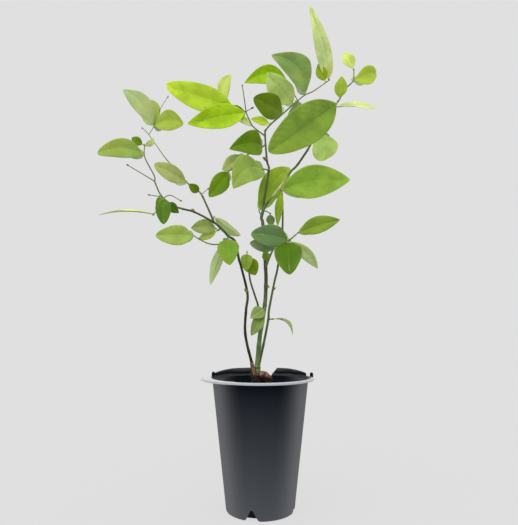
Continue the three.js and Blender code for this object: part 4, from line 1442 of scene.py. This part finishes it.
def lathe_object(name, corners, sides=192):
    """A profile of (radius, height, rounding) that starts and ends on the pot's axis, turned about it."""
    profile = rounded(corners)
    points = [(0, 0, profile[0][1])]
    for radius, z in profile[1:-1]:
        points.extend(circle(radius, z, sides))
    points.append((0, 0, profile[-1][1]))
    faces = [(0, 1 + (k + 1) % sides, 1 + k) for k in range(sides)]
    faces.extend(ring_quads(len(profile) - 2, sides, 1))
    last = 1 + (len(profile) - 3) * sides
    faces.extend((last + k, last + (k + 1) % sides, len(points) - 1) for k in range(sides))
    return new_object(name, points, faces)


def prism_object(name, outline, direction, depth):
    """An outline of points in space, pushed along a direction."""
    outline = np.asarray(outline, float)
    count = len(outline)
    points = np.concatenate([outline, outline + np.asarray(direction, float) * depth])
    faces = [tuple(range(count)), tuple(range(2 * count - 1, count - 1, -1))]
    faces.extend((k, (k + 1) % count, count + (k + 1) % count, count + k) for k in range(count))
    return new_object(name, points, faces)


def combine(piece, tool, operation):
    """Joins the tool to the piece, or cuts it out of it."""
    reshape(piece, "BOOLEAN", operation=operation, solver="EXACT", object=tool)
    bpy.data.objects.remove(tool)


def lug_outline():
    """The lug's plan: the flange runs out to one side, bending away from its own round in front."""
    left, rear, corner = -LUG["reach"], LUG["rear"], LUG["corner"]
    outline = [(0, rear), *arc(left + corner, rear - corner, corner, math.pi / 2, math.pi)]
    start, pull, end = (np.array(p, float) for p in ((left, LUG["bend_from"]), LUG["pull"], LUG["meets"]))
    outline.extend(pulled(start, pull, end, part) for part in np.linspace(0, 1, 25))
    return np.array([*outline, (0, 0)])


def drawn_in(outline, inset):
    """The outline, which runs anticlockwise, drawn in all round."""
    ahead = np.roll(outline, -1, axis=0) - outline
    ahead /= np.linalg.norm(ahead, axis=1, keepdims=True)
    along = ahead + np.roll(ahead, 1, axis=0)
    along /= np.linalg.norm(along, axis=1, keepdims=True)
    return outline + inset * np.stack([-along[:, 1], along[:, 0]], axis=1)


def lug_object():
    """The finger lug, a plate with a rounded edge, outside the pot's bore."""
    thickness = POT["flange_thickness"]
    outline = lug_outline()
    insets = [(0, 0.5), (0.5, 0), (thickness - 0.7, 0), (thickness - 0.2, 0.25), (thickness, 0.7)]
    rings = []
    for height, inset in insets:
        rings.append([(x, y, UNDER_FLANGE + height) for x, y in drawn_in(outline, inset)])
    plate = new_object("lug", np.concatenate(rings), ring_faces(len(rings), len(outline)))
    wide, low, high = COLLAR_INNER + 0.4, UNDER_FLANGE - OVER, POT["height"]
    inside = lathe_object("inside", [(0, low, 0), (wide, low, 0), (wide, high, 0), (0, high, 0)])
    combine(plate, inside, "DIFFERENCE")
    return plate


def peg_object(x, y):
    """A short upright peg with a round top and softened edges, standing on the flange."""
    half, low = PEGS["width"] / 2, POT["flange_top"]
    outline = [(x - half, low - PEGS["sunk"]), (x + half, low - PEGS["sunk"])]
    outline.extend(arc(x, low + PEGS["height"] - half, half, 0, math.pi))
    front = [(across, y - PEGS["length"] / 2, z) for across, z in outline]
    made = prism_object("peg", front, (0, 1, 0), PEGS["length"])
    reshape(made, "BEVEL", width=PEGS["softened"] * MM, segments=2, angle_limit=math.radians(50))
    return made


def collar_cut_object():
    """What is cut away of the collar: all in front, and a slope down to its ends."""
    wide, low, top = POT["flange_radius"], POT["flange_top"], POT["height"] + OVER
    end, full = COLLAR["end"], COLLAR["full_from"]
    slope = [(end, low), (end, low + COLLAR["end_height"]), (full, POT["height"])]
    side = [(-wide, low), *slope, (full, top), (-wide, top)]
    return prism_object("collar_cut", [(-wide, y, z) for y, z in side], (1, 0, 0), 2 * wide)


def notch_object():
    """A gap in the back of the rim, with one slanted side."""
    top = POT["height"] + OVER
    lean = (RIM_NOTCH["right_at_top"] - RIM_NOTCH["right"]) / (POT["height"] - RIM_NOTCH["bottom"])
    outline = [
        (RIM_NOTCH["left"], RIM_NOTCH["bottom"]),
        (RIM_NOTCH["right"], RIM_NOTCH["bottom"]),
        (RIM_NOTCH["right"] + lean * (top - RIM_NOTCH["bottom"]), top),
        (RIM_NOTCH["left"], top),
    ]
    inner = POT["foot_radius"]
    front = [(x, inner, z) for x, z in outline]
    return prism_object("notch", front, (0, 1, 0), POT["flange_radius"] - inner)


def drain_object(angle):
    """A bell-shaped opening at the foot of the wall."""
    half, waist, height = DRAIN["half_width"], DRAIN["half_waist"], DRAIN["height"]
    outline = []
    for part in np.linspace(0, 1, 17):
        bend = np.array([(1 - part) ** 3, 3 * part * (1 - part) ** 2, 3 * part**2 * (1 - part), part**3])
        outline.append((bend @ (-half, -waist, -waist, 0), bend @ (-1, 1, height, height)))
    outline.extend([(-x, z) for x, z in reversed(outline[:-1])])
    inner = POT["foot_radius"] - DRAIN["inward"]
    upward = np.array([0, 0, 1.0])
    spun = [turned(np.array([x, inner, z]), upward, angle - math.pi / 2) for x, z in outline]
    outward = turned(np.array([0, 1.0, 0]), upward, angle - math.pi / 2)
    return prism_object("drain", spun, outward, DRAIN["inward"] + OVER)


def pot_piece():
    """The moulding, turned from one profile, with what is cut away and what stands on it."""
    under = UNDER_FLANGE
    top = POT["flange_top"]
    shell = [
        (0, 0, 0),
        (POT["foot_radius"], 0, 1.6),
        (POT["top_radius"], under, 0.5),
        (POT["flange_radius"], under, 0.5),
        (POT["flange_radius"], top, 1.0),
        (POT["collar_radius"], top, 0.4),
        (POT["collar_radius"], POT["height"], ROUND),
        (COLLAR_INNER, POT["height"], ROUND),
        (COLLAR_INNER, top, 0.3),
        (POT["top_radius"] - POT["wall"], under, 0.3),
        (POT["foot_radius"] - POT["wall"], POT["floor"], 0.5),
        (0, POT["floor"], 0),
    ]
    piece = lathe_object("pot_moulding", shell)
    combine(piece, collar_cut_object(), "DIFFERENCE")
    combine(piece, lug_object(), "UNION")
    for x, y in PEGS["places"]:
        combine(piece, peg_object(x, y), "UNION")
    combine(piece, notch_object(), "DIFFERENCE")
    for k in range(DRAIN["count"]):
        combine(piece, drain_object(DRAIN["first_at"] + 2 * math.pi * k / DRAIN["count"]), "DIFFERENCE")
    mesh = piece.data
    mesh.materials.clear()
    for material in pot_materials.values():
        mesh.materials.append(material)
    looks = list(pot_materials)
    for face in mesh.polygons:
        x, y, z = face.center / MM
        reach = math.hypot(x, y)
        # The flange band takes the rim's painted highlight, and the inner faces high up take the lining's
        # painted light and shade.
        if reach > COLLAR_INNER + NEAR and under + NEAR < z < top + NEAR:
            face.material_index = looks.index("rim")
        elif z > SOIL - 2 and reach < COLLAR_INNER + 0.1 and face.normal.x * x + face.normal.y * y < 0:
            face.material_index = looks.index("lining")
    mesh.shade_smooth()
    mesh.set_sharp_from_angle(angle=SHARP)
    seat(piece, "pot")


pot_piece()

# ---- Floor, light and camera

WHITE = 0.745  # of the backdrop
SKY = 1.2  # of the studio round it
KEY = 0.3  # what the lamp adds on the floor
LAMP = dict(lean=math.radians(38), turn=math.radians(-28), size=math.radians(70))
FLOOR_DIFFUSE = 0.12  # the part of the floor's light that shadows can take away
SENSOR = 36.0


def floor_piece():
    """A pale floor that glows like the backdrop, so that only a faint shadow shows."""
    sides, radius, below = 96, 8000, -0.2
    material, n = new_material("floor")
    albedo = FLOOR_DIFFUSE * WHITE / (SKY + KEY)
    greys = [(albedo * factor,) * 3 + (1,) for factor in (0.99, 1.01)]
    diffuse = n.shader("ShaderNodeBsdfDiffuse", Color=n.blend(n.noise(3, 2.0), *greys))
    glow = n.shader("ShaderNodeEmission", Strength=WHITE * (1 - FLOOR_DIFFUSE))
    n.finish(n.join("ShaderNodeAddShader", diffuse, glow))
    made = new_object("floor", circle(radius, below, sides), [tuple(range(sides))], [material])


def lights():
    """An evenly bright studio and a broad lamp above. The backdrop that the camera sees is plain grey."""
    world = bpy.context.scene.world or bpy.data.worlds.new("studio")
    bpy.context.scene.world = world
    world.use_nodes = True
    n = Nodes(world.node_tree)
    sky = world.node_tree.nodes["Background"].inputs
    n.put((1, 1, 1, 1), sky["Color"])
    seen = n.add("ShaderNodeLightPath").outputs["Is Camera Ray"]
    n.put(n.ramp(seen, 0.0, 1.0, SKY, WHITE, smooth=False), sky["Strength"])
    lamp = bpy.data.lights.new("key", "SUN")
    lamp.energy = KEY * math.pi / math.cos(LAMP["lean"])
    lamp.angle = LAMP["size"]
    key = placed("key", lamp)
    key.rotation_euler = (LAMP["lean"], 0, LAMP["turn"])


def camera():
    lens = bpy.data.cameras.new("view")
    lens.sensor_width = SENSOR
    lens.lens = SENSOR * SHEET_DISTANCE / SHEET_HEIGHT
    lens.clip_start = 0.01
    lens.clip_end = 50.0
    made = placed("view", lens)
    made.location = Vector(EYE * MM)
    made.rotation_euler = (math.pi / 2 + EYE_TILT, 0, 0)
    bpy.context.scene.camera = made


floor_piece()
lights()
camera()
bpy.context.scene.view_settings.view_transform = "Standard"
